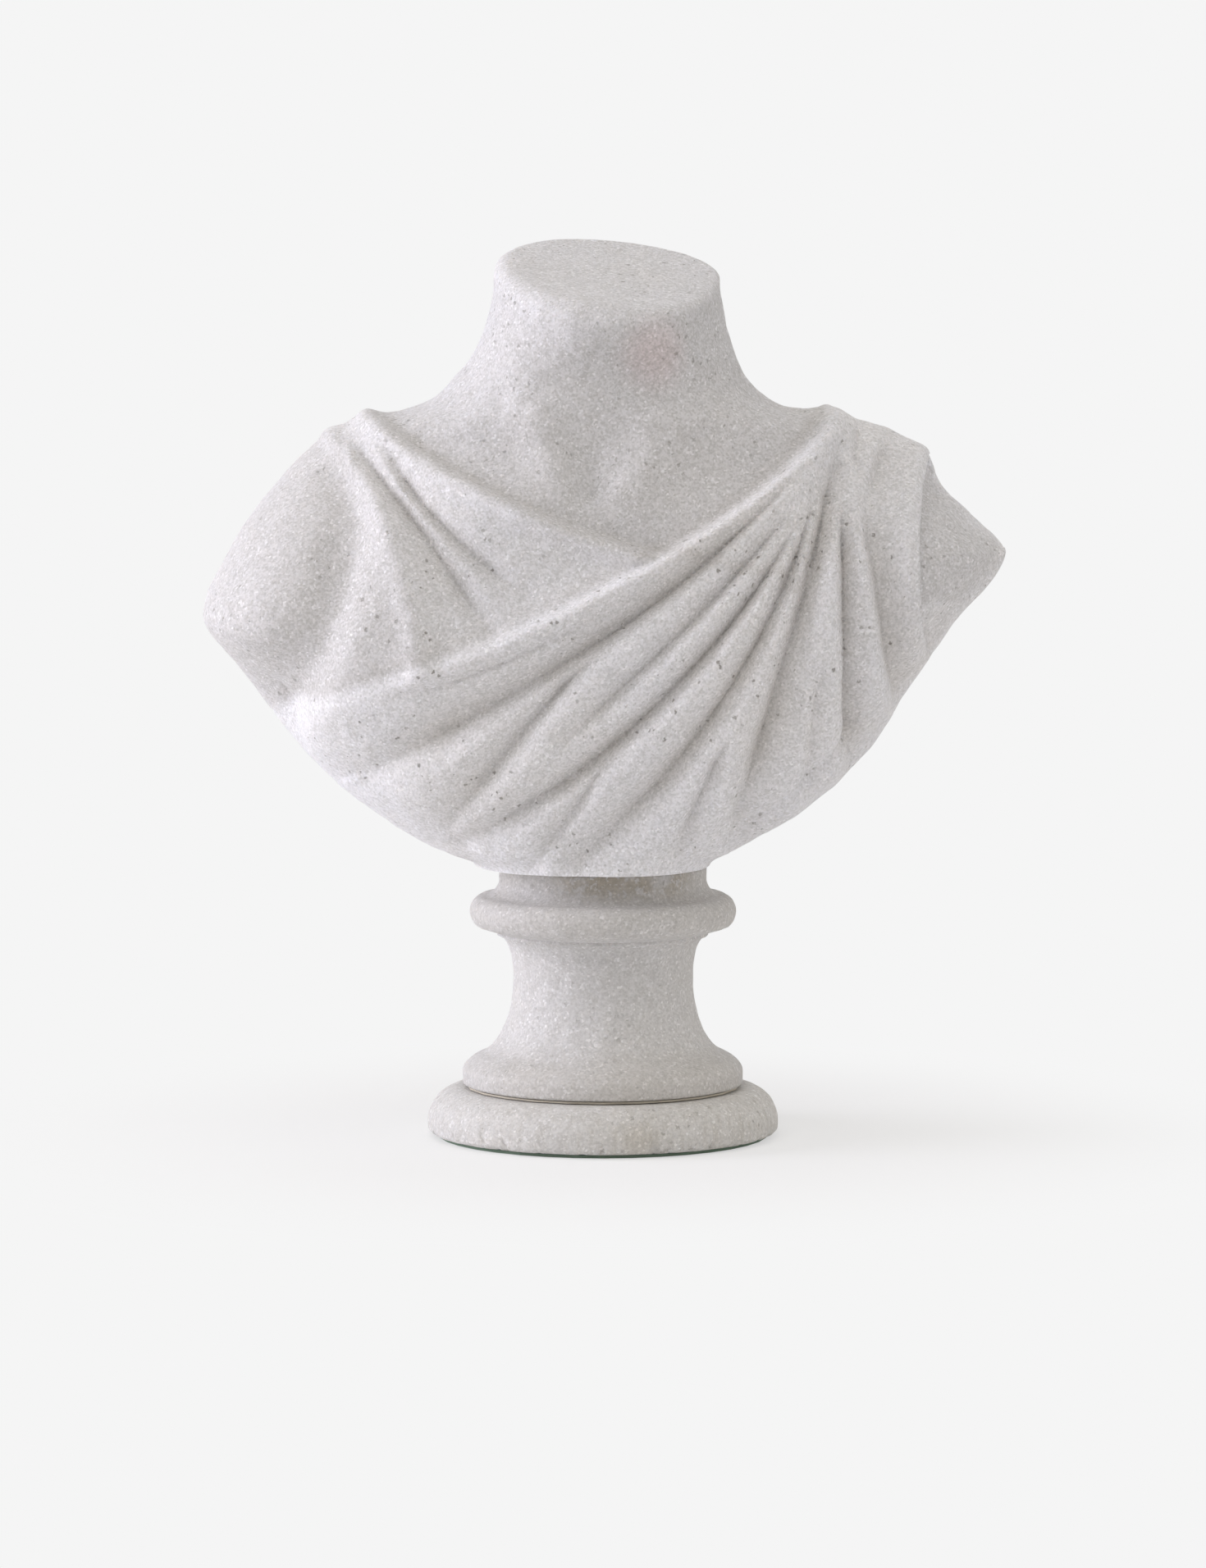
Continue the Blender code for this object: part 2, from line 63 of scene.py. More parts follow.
BACK_COLUMNS = 90
BODY_ROWS = 226
SECTION_SAMPLES = 1441
HEIGHT_SAMPLES = 1601
LINE_SAMPLES = 33

# Knots of the block's outlines and profiles: height above the seat, then reach from the socle's axis
LEFT_OUTLINE = (
    (0.000, 0.0440),
    (0.007, 0.0600),
    (0.023, 0.0840),
    (0.036, 0.0985),
    (0.068, 0.1240),
    (0.085, 0.1360),
    (0.107, 0.1272),
    (0.130, 0.1110),
    (0.146, 0.0945),
    (0.152, 0.0830),
    (0.158, 0.0620),
    (0.164, 0.0520),
    (0.175, 0.0424),
    (NECK_CUT, 0.0370),
)
RIGHT_OUTLINE = (
    (0.000, 0.0365),
    (0.007, 0.0480),
    (0.018, 0.0670),
    (0.040, 0.0910),
    (0.057, 0.1020),
    (0.080, 0.1174),
    (0.107, 0.1370),
    (0.119, 0.1266),
    (0.130, 0.1155),
    (0.141, 0.1100),
    (0.147, 0.0998),
    (0.152, 0.0850),
    (0.158, 0.0615),
    (0.164, 0.0514),
    (0.175, 0.0444),
    (NECK_CUT, 0.0395),
)
FRONT_PROFILE = (
    (0.000, 0.0490),
    (0.030, 0.0590),
    (0.075, 0.0655),
    (0.120, 0.0540),
    (0.150, 0.0420),
    (0.165, 0.0410),
    (NECK_CUT, 0.0475),
)
BACK_PROFILE = (
    (0.000, 0.0370),
    (0.030, 0.0510),
    (0.085, 0.0620),
    (0.125, 0.0560),
    (0.152, 0.0430),
    (0.170, 0.0350),
    (NECK_CUT, 0.0270),
)
# How square each level section is: height, then the power of its superellipse
SQUARENESS = (
    (0.000, 2.4),
    (0.030, 3.0),
    (0.070, 2.9),
    (0.115, 2.4),
    (0.148, 1.75),
    (0.160, 1.75),
    (0.175, 2.0),
)


def follow(knots, at):
    """Smooth curve through the knots that never swings past them, held level outside."""
    x, y = np.array(knots).T
    step = np.diff(x)
    slope = np.diff(y) / step
    before, after = slope[:-1], slope[1:]
    level = before * after <= 0
    inner = np.where(level, 0, 2 * before * after / np.where(level, 1, before + after))
    tangent = np.concatenate([[0], inner, [0]])
    at = np.clip(at, x[0], x[-1])
    i = np.clip(np.searchsorted(x, at, "right") - 1, 0, len(step) - 1)
    t = (at - x[i]) / step[i]
    return (
        y[i] * (1 + 2 * t) * (1 - t) ** 2
        + y[i + 1] * t**2 * (3 - 2 * t)
        + step[i] * (tangent[i] * t * (1 - t) ** 2 - tangent[i + 1] * t**2 * (1 - t))
    )


def ramp(low, high, at):
    """Rises smoothly from 0 at low to 1 at high."""
    t = np.clip((at - low) / (high - low), 0, 1)
    return t * t * (3 - 2 * t)


def level_section(height, front, columns):
    """Half of a level cut through the body, from the left arm to the right, in even steps."""
    turn = np.linspace(math.pi, 0, SECTION_SAMPLES)
    power = 2 / follow(SQUARENESS, height)
    across = np.sign(np.cos(turn)) * np.abs(np.cos(turn)) ** power
    out = np.abs(np.sin(turn)) ** power
    left, right = follow(LEFT_OUTLINE, height), follow(RIGHT_OUTLINE, height)
    depth = -follow(FRONT_PROFILE, height) if front else follow(BACK_PROFILE, height)
    x = np.where(across < 0, left, right) * across
    y = depth * out
    length = np.concatenate([[0], np.cumsum(np.hypot(np.diff(x), np.diff(y)))])
    even = np.linspace(0, length[-1], columns + 1)
    return np.interp(even, length, x), np.interp(even, length, y)


def body_rings():
    """The block before the drapery is cut: rings from the seat to the neck cut."""
    fine = np.linspace(0, NECK_CUT, HEIGHT_SAMPLES)
    reach = (follow(LEFT_OUTLINE, fine) + follow(RIGHT_OUTLINE, fine)) / 2
    run = np.concatenate([[0], np.cumsum(np.hypot(np.diff(fine), np.diff(reach)))])
    heights = np.interp(np.linspace(0, run[-1], BODY_ROWS), run, fine)
    rings = np.empty((BODY_ROWS, FRONT_COLUMNS + BACK_COLUMNS, 3))
    neck_middle = (BACK_PROFILE[-1][1] - FRONT_PROFILE[-1][1]) / 2
    for row, height in enumerate(heights):
        x, y = level_section(height, True, FRONT_COLUMNS)
        back_x, back_y = level_section(height, False, BACK_COLUMNS)
        rings[row, :, 0] = np.concatenate([x[:-1], back_x[:0:-1]])
        rings[row, :, 1] = np.concatenate([y[:-1], back_y[:0:-1]])
        lean = ramp(NECK_LEAN_FROM, NECK_CUT, height)
        tilt = NECK_TILT * (rings[row, :, 1] - neck_middle) - NECK_DROP * rings[row, :, 0]
        rings[row, :, 2] = height + lean * tilt
    return rings


def outward(rings):
    """The unit normals of the sheet that the rings make."""
    along = np.roll(rings, -1, axis=1) - np.roll(rings, 1, axis=1)
    up = np.gradient(rings, axis=0)
    normal = np.cross(along, up)
    return normal / np.linalg.norm(normal, axis=2, keepdims=True)


def bent_line(start, bend, end):
    """Points along a curve that leaves the start towards the bend and comes from it to the end."""
    t = np.linspace(0, 1, LINE_SAMPLES)[:, None]
    start, bend, end = np.array(start), np.array(bend), np.array(end)
    return start * (1 - t) ** 2 + bend * 2 * t * (1 - t) + end * t**2


def measure(line, x, z):
    """Share along the line of the place nearest to each point, and the point's distance from the line.

    The distance is positive on the right hand of someone who walks along the line in the front view.
    """
    nearest = np.full(x.shape, np.inf)
    share = np.zeros(x.shape)
    side = np.zeros(x.shape)
    for i, (a, b) in enumerate(zip(line[:-1], line[1:])):
        run = b - a
        t = np.clip(((x - a[0]) * run[0] + (z - a[1]) * run[1]) / (run @ run), 0, 1)
        away_x, away_z = x - a[0] - t * run[0], z - a[1] - t * run[1]
        distance = np.hypot(away_x, away_z)
        closer = distance < nearest
        nearest = np.where(closer, distance, nearest)
        share = np.where(closer, (i + t) / (len(line) - 1), share)
        side = np.where(closer, np.sign(run[1] * away_x - run[0] * away_z), side)
    return share, nearest * np.where(side == 0, 1, side)


# The drapery's cuts, in the front view: x from the socle's axis and height above the seat
ROLL = bent_line((0.080, 0.151), (0.046, 0.102), (-0.115, 0.047))
NECKLINE = bent_line((0.060, 0.098), (-0.030, 0.112), (-0.080, 0.152))
INNER_EDGE = (-0.094, 0.148), (-0.064, 0.116), (-0.061, 0.072)
SIDE_HEM = bent_line((0.110, 0.138), (0.101, 0.106), (0.113, 0.062))
LOWER_HEM = bent_line((0.086, 0.049), (0.066, 0.023), (0.033, 0.004))
BACK_ROLL = bent_line((0.078, 0.153), (0.030, 0.090), (-0.092, 0.052))
BACK_NECKLINE = bent_line((0.060, 0.104), (-0.040, 0.118), (-0.080, 0.152))

# A garment's edge: how far the body sinks above it, its rise, its widths at both ends and its fading.
# The pairs after that are where each of these comes and goes, across the edge and then along it.
ROLL_FORM = 0.0030, 0.0052, (0.0044, 0.0085), 0.85
NECKLINE_FORM = 0.0030, 0.0044, (0.0030, 0.0040), 0.5
SINK_NEAR, SINK_FAR = (0.001, 0.006), (0.010, 0.045)
SINK_START, SINK_END = (0, 0.06), (0.55, 0.92)
EDGE_START, EDGE_END = (-0.03, 0.03), (0.56, 0.94)
BARE_ABOVE = 0.003, 0.008
ROLL_CREASE, NECKLINE_CREASE = (0.008, 0.003), (0.005, 0.002)
CREASE_SHADE = 0.0030

# The hems: the arm beyond the side hem lies deeper, and the lower hem is a groove over a lip
SIDE_HEM_STEP = 0.0045
SIDE_HEM_EASE = -0.0005, 0.0020
SIDE_HEM_RISE = 0.0020
SIDE_HEM_CREST = 0.0040, 0.0040
SHOULDER = 0.134, 0.148
LOWER_HEM_GROOVE = 0.0024
GROOVE_LINE = 0, 0.0016
LOWER_HEM_LIP = 0.0012
LIP_LINE = -0.0036, 0.0026
LOWER_HEM_FROM = 0.028, 0.045

# Where the stone is lighter, partly rubbed white and partly painted light: from the roll to the side hem
# and, less so, on the inner garment. The chest above the roll and the bare arm past the side hem stay
# darker as painted shade
RUBBED_AND_LIT_BELOW = 0.008, 0.003
RUBBED_AND_LIT_TO_HEM = 0, 0.0015
INNER_BELOW, INNER_RIGHT = (0.001, -0.002), (0.002, -0.003)
INNER_RUB_AND_LIGHT = 0.6
FACE_RUB_AND_LIGHT = 0.35

# Which way the skin faces to take the front's or the back's cuts, and how that widens where it looks up
FACING_UP = 0.0, 0.5
FRONT_FROM, FRONT_FULL = 0.02, 0.28
FRONT_FROM_TOP, FRONT_FULL_TOP = -0.27, 0.02
BACK_FROM, BACK_FULL = 0.10, 0.45
BACK_FROM_TOP, BACK_FULL_TOP = -0.35, -0.15

# How the folds' valleys come and go along their length, and how deep one is when its painted shade is
# full
FOLD_DEPTH = 1.2
FOLD_START, FOLD_END = (-0.07, 0.25), (0.77, 1.0)
FOLD_END_FADE = 0.38
LEFT_END_FADE = 0.24
LEFT_OF_MIDDLE = 0, -0.03
VALLEY_POWER = 1.3
VALLEY_SHADE_DEPTH = 0.007

# Valleys between the folds: start, bend, end, widths at both ends, depth, right side's share
FRONT_FOLDS = (
    ((0.059, 0.127), (0.000, 0.082), (-0.070, 0.060), 0.0015, 0.0026, 0.0028, 1.0),
    ((0.068, 0.136), (-0.004, 0.071), (-0.080, 0.034), 0.0024, 0.0100, 0.0066, 0.55),
    ((0.001, 0.079), (-0.028, 0.050), (-0.052, 0.016), 0.0026, 0.0070, 0.0052, 0.7),
    ((0.066, 0.127), (0.025, 0.080), (-0.012, 0.047), 0.0020, 0.0052, 0.0046, 0.7),
    ((0.070, 0.128), (0.025, 0.047), (-0.047, 0.010), 0.0020, 0.0062, 0.0062, 0.7),
    ((0.005, 0.046), (-0.007, 0.024), (-0.022, 0.005), 0.0024, 0.0052, 0.0036, 0.8),
    ((0.074, 0.138), (0.053, 0.055), (-0.008, 0.005), 0.0018, 0.0072, 0.0062, 0.7),
    ((0.042, 0.047), (0.033, 0.028), (0.026, 0.008), 0.0022, 0.0036, 0.0036, 1.0),
    ((0.080, 0.147), (0.066, 0.082), (0.046, 0.018), 0.0024, 0.0050, 0.0070, 1.3),
    ((0.073, 0.072), (0.071, 0.050), (0.069, 0.028), 0.0024, 0.0036, 0.0024, 1.3),
    ((0.081, 0.133), (0.081, 0.084), (0.087, 0.030), 0.0018, 0.0038, 0.0062, 1.7),
    ((0.088, 0.131), (0.093, 0.095), (0.104, 0.050), 0.0032, 0.0036, 0.0056, 2.4),
    ((0.100, 0.090), (0.100, 0.074), (0.106, 0.052), 0.0020, 0.0026, 0.0018, 1.2),
    ((0.087, 0.151), (0.086, 0.143), (0.086, 0.135), 0.0022, 0.0022, 0.0024, 1.2),
    ((0.097, 0.146), (0.094, 0.136), (0.090, 0.127), 0.0030, 0.0030, 0.0034, 1.8),
    ((-0.085, 0.145), (-0.060, 0.119), (-0.037, 0.083), 0.0022, 0.0046, 0.0040, 0.8),
    ((-0.074, 0.144), (-0.056, 0.117), (-0.026, 0.097), 0.0020, 0.0048, 0.0038, 0.8),
)
BACK_FOLDS = (
    ((0.083, 0.151), (0.060, 0.090), (-0.060, 0.040), 0.0040, 0.0085, 0.0044, 0.8),
    ((0.090, 0.140), (0.070, 0.070), (-0.030, 0.010), 0.0040, 0.0085, 0.0046, 0.8),
    ((0.097, 0.130), (0.085, 0.070), (0.020, 0.008), 0.0040, 0.0085, 0.0044, 0.8),
    ((0.100, 0.110), (0.098, 0.070), (0.065, 0.022), 0.0040, 0.0075, 0.0034, 0.8),
)
# Softer forms: throat, neck muscle, collar bone, the hollows beside them, the inner garment's outer
# ridge and the arm's hollow. Start, bend, end, two widths, two depths where a negative one rises, and
# the right side's share.
SOFT_FORMS = (
    ((0.004, 0.176), (0.002, 0.151), (-0.0055, 0.134), 0.018, 0.0085, 0.0010, 0.0046, 1.0),
    ((-0.030, 0.178), (-0.023, 0.146), (-0.012, 0.133), 0.008, 0.006, -0.0012, -0.0022, 1.0),
    ((0.028, 0.152), (0.018, 0.138), (0.006, 0.132), 0.009, 0.007, -0.0006, -0.0014, 1.0),
    ((0.030, 0.136), (0.036, 0.136), (0.047, 0.141), 0.012, 0.012, 0.0018, 0.0016, 1.0),
    ((-0.036, 0.142), (-0.048, 0.146), (-0.061, 0.145), 0.012, 0.012, 0.0016, 0.0022, 1.0),
    (*INNER_EDGE, 0.0036, 0.0056, -0.0024, -0.0032, 1.0),
    ((-0.085, 0.130), (-0.081, 0.097), (-0.116, 0.046), 0.0105, 0.016, 0.0046, 0.0088, 0.65),
)


def mound(off, middle, wide):
    """A smooth hump, 1 high at the middle."""
    return np.exp(-(((off - middle) / wide) ** 2))


def layer_edge(line, x, z, step, rise, widths, fade):
    """A garment's rolled upper edge, which fades to its end, with the body sunk above it."""
    share, above = measure(line, x, z)
    wide = widths[0] + (widths[1] - widths[0]) * share
    sunk = step * ramp(*SINK_NEAR, above) * (1 - ramp(*SINK_FAR, above)) * ramp(*SINK_START, share)
    sunk *= 1 - fade * ramp(*SINK_END, share)
    proud = rise * ramp(*EDGE_START, share) * (1 - fade * ramp(*EDGE_END, share))
    return proud * mound(above, 0, wide) - sunk


def fold_valleys(folds, x, z):
    """Valleys that start fine at the gathers and widen to the hem. The deeper wins where two meet."""
    powers = np.zeros(x.shape)
    end_fade = FOLD_END_FADE + LEFT_END_FADE * ramp(*LEFT_OF_MIDDLE, x)
    for start, bend, end, near, far, depth, right_share in folds:
        share, off = measure(bent_line(start, bend, end), x, z)
        wide = (near + (far - near) * share) * np.where(off < 0, right_share, 1)
        deep = FOLD_DEPTH * depth * ramp(*FOLD_START, share) * (1 - end_fade * ramp(*FOLD_END, share))
        powers += (deep * np.exp(-(np.abs(off / wide) ** VALLEY_POWER))) ** 3
    return np.cbrt(powers)


def soft_forms(x, z):
    """The softer forms' depths, added up."""
    depth_here = np.zeros(x.shape)
    for start, bend, end, near, far, first, last, right_share in SOFT_FORMS:
        share, off = measure(bent_line(start, bend, end), x, z)
        wide = (near + (far - near) * share) * np.where(off < 0, right_share, 1)
        depth_here += (first + (last - first) * share) * mound(off, 0, wide)
    return depth_here


def drape(rings):
    """Cuts the drapery and the neck's forms into the rings.

    Also gives the depth of the valleys and creases, where shade is painted, and where the stone is
    lighter, partly rubbed and partly painted light.
    """
    normal = outward(rings)
    x, z = rings[:, :, 0], rings[:, :, 2]
    upward = ramp(*FACING_UP, normal[:, :, 2])
    front = ramp(
        FRONT_FROM + FRONT_FROM_TOP * upward, FRONT_FULL + FRONT_FULL_TOP * upward, -normal[:, :, 1]
    )
    back = ramp(BACK_FROM + BACK_FROM_TOP * upward, BACK_FULL + BACK_FULL_TOP * upward, normal[:, :, 1])

    above_roll = measure(ROLL, x, z)[1]
    before = layer_edge(ROLL, x, z, *ROLL_FORM)
    before += ramp(*BARE_ABOVE, above_roll) * layer_edge(NECKLINE, x, z, *NECKLINE_FORM)
    inside = measure(SIDE_HEM, x, z)[1]
    hem = SIDE_HEM_RISE * mound(inside, *SIDE_HEM_CREST) - SIDE_HEM_STEP * ramp(*SIDE_HEM_EASE, -inside)
    below_shoulder = 1 - ramp(*SHOULDER, z)
    before += hem * below_shoulder
    over = measure(LOWER_HEM, x, z)[1]
    lip = LOWER_HEM_LIP * mound(over, *LIP_LINE) - LOWER_HEM_GROOVE * mound(over, *GROOVE_LINE)
    before += lip * ramp(*LOWER_HEM_FROM, x)
    front_valleys = fold_valleys(FRONT_FOLDS, x, z)
    before -= front_valleys + soft_forms(x, z)

    above_back_roll = measure(BACK_ROLL, x, z)[1]
    behind = layer_edge(BACK_ROLL, x, z, *ROLL_FORM)
    behind += ramp(*BARE_ABOVE, above_back_roll) * layer_edge(BACK_NECKLINE, x, z, *NECKLINE_FORM)
    back_valleys = fold_valleys(BACK_FOLDS, x, z)
    behind -= back_valleys

    above_neckline = measure(NECKLINE, x, z)[1]
    creases = mound(above_roll, *ROLL_CREASE) + mound(above_neckline, *NECKLINE_CREASE)
    # Painted shade: the folds' valleys and the creases above the roll and the neckline are darkened in
    # the stone's colour.
    shaded_hollow = (front_valleys + CREASE_SHADE * creases) * front + back_valleys * back
    # Painted light: the cloth below the roll and the inner garment are made lighter, partly for rubbing
    # and partly as painted light; the chest and the bare arm past the side hem keep the darker tone as
    # painted shade.
    past_edge = measure(bent_line(*INNER_EDGE), x, z)[1]
    inner = ramp(*INNER_BELOW, above_neckline) * ramp(*INNER_RIGHT, past_edge)
    past_hem = ramp(*RUBBED_AND_LIT_TO_HEM, -inside) * below_shoulder * front
    rubbed_and_lit = np.maximum(ramp(*RUBBED_AND_LIT_BELOW, above_roll) * (1 - past_hem), INNER_RUB_AND_LIGHT * inner)
    return rings + normal * (before * front + behind * back)[:, :, None], shaded_hollow, rubbed_and_lit


def rasp_marks(points, depth, waves=30, shortest=0.005, longest=0.020, seed=7):
    """The rasp's unevenness: waves of many lengths laid over one another, as a height at each point."""
    draw = np.random.default_rng(seed)
    height = np.zeros(points.shape[:-1])
    for _ in range(waves):
        run = draw.normal(size=3)
        run *= 2 * math.pi / draw.uniform(shortest, longest) / np.linalg.norm(run)
        height += np.sin(points @ run + draw.uniform(0, 2 * math.pi))
    return depth * height / math.sqrt(waves / 2)


def wrapped_sheet(name, rings):
    """A flat grid rolled up into the rings. Also gives each vertex's row and column in them."""
    rows, columns = rings.shape[:2]
    bpy.ops.object.select_all(action="DESELECT")
    bpy.ops.mesh.primitive_grid_add(x_subdivisions=columns, y_subdivisions=rows - 1, size=2)
    piece = bpy.context.object
    piece.name = piece.data.name = name
    flat = np.empty(len(piece.data.vertices) * 3)
    piece.data.vertices.foreach_get("co", flat)
    flat = flat.reshape(-1, 3)
    column = np.rint((flat[:, 0] + 1) / 2 * columns).astype(int) % columns
    row = np.rint((flat[:, 1] + 1) / 2 * (rows - 1)).astype(int)
    piece.data.vertices.foreach_set("co", rings[row, column].ravel())
    return piece, row, column


def close_sheet(merge=0.00001, smooth_below=40):
    """Merges the sheet's seam and ends, turns its faces out and shades it smooth but for its edges."""
    bpy.ops.object.mode_set(mode="EDIT")
    bpy.ops.mesh.select_all(action="SELECT")
    bpy.ops.mesh.remove_doubles(threshold=merge)
    bpy.ops.mesh.normals_make_consistent(inside=False)
    bpy.ops.object.mode_set(mode="OBJECT")
    bpy.ops.object.shade_smooth_by_angle(angle=math.radians(smooth_below))


body, shaded_hollow, rubbed_and_lit = drape(body_rings())
body += outward(body) * rasp_marks(body, RASP_DEPTH)[:, :, None]

# The rim of the neck cut is worn soft on the left and in front, and crisp on the right
neck_turn = np.arctan2(body[-1, :, 1], body[-1, :, 0])
worn = ramp(*NECK_WEAR, np.cos(neck_turn + math.radians(NECK_WEAR_TURN)))
rim = NECK_RIM + (NECK_RIM_WORN - NECK_RIM) * worn
neck_ring = body[-1:]
neck_centre = neck_ring.mean(axis=1, keepdims=True)
reach = np.linalg.norm((neck_ring - neck_centre)[..., :2], axis=-1)
body[:, :, 2] -= (rim - NECK_RIM) * ramp(NECK_WEAR_FROM, NECK_CUT, body[:, :, 2])
rim_rings = []
for angle in range(15, 91, 15):
    inward = 1 - rim / reach * (1 - math.cos(math.radians(angle)))
    lift = rim * math.sin(math.radians(angle))
    edge = neck_centre + (neck_ring - neck_centre) * inward[..., None]
    edge[..., 2] += lift
    rim_rings.append(edge)
for ring in (body, *rim_rings):
    ring[..., 2] += SEAT
body[0, :, 2] = SEAT
flat_face = rim_rings[-1]
flat_centre = flat_face.mean(axis=1, keepdims=True)
for share in FACE_RINGS:
    rim_rings.append(flat_centre + (flat_face - flat_centre) * share)

# The seat and the rod's bore below the body
seat_ring = body[:1]
turn = np.arctan2(seat_ring[..., 1], seat_ring[..., 0])
bore_ring = np.stack(
    [ROD_BORE * np.cos(turn), ROD_BORE * np.sin(turn), np.full(turn.shape, SEAT)], axis=-1
)
bore_top = bore_ring + (0, 0, ROD_BORE_DEPTH)
seat_middle = seat_ring + (bore_ring - seat_ring) * 0.5
bore_end = bore_top * (0, 0, 1)
lower_rings = [bore_end, bore_top, bore_ring, seat_middle]
sheet = np.concatenate(lower_rings + [body] + rim_rings)
bust, row, column = wrapped_sheet("bust_carved", sheet)
# The valley attribute carries painted shade, and the rubbed attribute lighter stone, partly rubbing and
# partly painted light, also on the neck cut's face.
for name, on_body, on_face in (
    ("valley_shade", np.clip(shaded_hollow / VALLEY_SHADE_DEPTH, 0, 1), 0.0),
    ("rubbed_and_lit", rubbed_and_lit, FACE_RUB_AND_LIGHT),
):
    on_sheet = np.zeros(sheet.shape[:2])
    on_sheet[len(lower_rings) : len(lower_rings) + BODY_ROWS] = on_body
    on_sheet[len(lower_rings) + BODY_ROWS :] = on_face
    painted = bust.data.attributes.new(name, "FLOAT", "POINT")
    painted.data.foreach_set("value", on_sheet[row, column])
close_sheet()
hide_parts("bust")
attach(bust, "root")

# The marble of every stone here is white calcite in grains of about a millimetre, a few of which catch
# the light, with grey clouds, small open pits, grey dirt streaks, grey painted shade in deep cuts and
# under the bust, and brown stains. One group of nodes works out its colour, roughness and height, and
# each stone adds its own tones.
GRAIN_SCALE = 1300
FINE_SCALE = 1300
PATCH_SCALE = 260
CLOUD_SCALE = 24
WARMTH_SCALE = 15
GRAIN_SHARE, FINE_SHARE, PATCH_SHARE, CLOUD_SHARE = 0.60, 1.40, 0.15, 0.35
GREY_MIDDLE = 0.45
GREY_CONTRAST = 1.55
WARM_PATCHES = 0.35, 0.65
WARM_TINT = 1.0, 0.992, 0.974, 1
GLINT_CHANCE = 0.86, 0.96
GLINT_LIGHT = 0.13, 0.13, 0.137, 1
GLINT_ROUGHNESS = 0.32
STONE_ROUGHNESS = 0.66
PIT_SCALE = 400
PIT_JOG_SCALE = 1100
PIT_JOG = 0.0016
PIT_SPREAD = 0.62
PIT_LEAST = 0.30
PIT_EDGE = 14.0
PIT_FIELD_SCALE = 42
PIT_FIELD = 0.42, 0.58
PIT_TINT = 0.50, 0.485, 0.46, 1
PIT_HEIGHT = 5.0
FACET_HEIGHT = 0.45
DIRT_AND_SHADE_PATCHES = 0.30, 0.65
DIRT_AND_SHADE_LEAST = 0.55
DIRT_AND_SHADE_TINT = 0.77, 0.75, 0.71, 1
STAIN_TINT = 0.76, 0.71, 0.62, 1


def node(tree, kind, place, **settings):
    """A new node at its place in the tree's picture."""
    made = tree.nodes.new(kind)
    made.location = place
    for key, value in settings.items():
        setattr(made, key, value)
    return made


def feed(tree, socket, value):
    """Links another node's output to the socket, or sets the socket to a plain value."""
    if isinstance(value, bpy.types.NodeSocket):
        tree.links.new(value, socket)
    else:
        socket.default_value = value


def maths(tree, operation, first, second, place, third=0.0, clamp=False):
    made = node(tree, "ShaderNodeMath", place, operation=operation, use_clamp=clamp)
    for socket, given in zip(made.inputs, (first, second, third)):
        feed(tree, socket, given)
    return made.outputs[0]


def spread(tree, value, low, high, place, to_low=0.0, to_high=1.0):
    """Goes smoothly from to_low where the value is low to to_high where it is high."""
    made = node(tree, "ShaderNodeMapRange", place, interpolation_type="SMOOTHSTEP")
    given = {"Value": value, "From Min": low, "From Max": high, "To Min": to_low, "To Max": to_high}
    for name, amount in given.items():
        feed(tree, made.inputs[name], amount)
    return made.outputs["Result"]


def blend(tree, share, first, second, place, kind="MIX"):
    made = node(tree, "ShaderNodeMix", place, data_type="RGBA", blend_type=kind)
    feed(tree, made.inputs["Factor"], share)
    feed(tree, made.inputs[6], first)
    feed(tree, made.inputs[7], second)
    return made.outputs[2]


def clouded(tree, where, scale, detail, place):
    made = node(tree, "ShaderNodeTexNoise", place)
    feed(tree, made.inputs["Vector"], where)
    made.inputs["Scale"].default_value = scale
    made.inputs["Detail"].default_value = detail
    return made


def distance_from(tree, where, point, place):
    """The distance from a point on the piece."""
    made = node(tree, "ShaderNodeVectorMath", place, operation="DISTANCE")
    feed(tree, made.inputs[0], where)
    made.inputs[1].default_value = point
    return made.outputs["Value"]


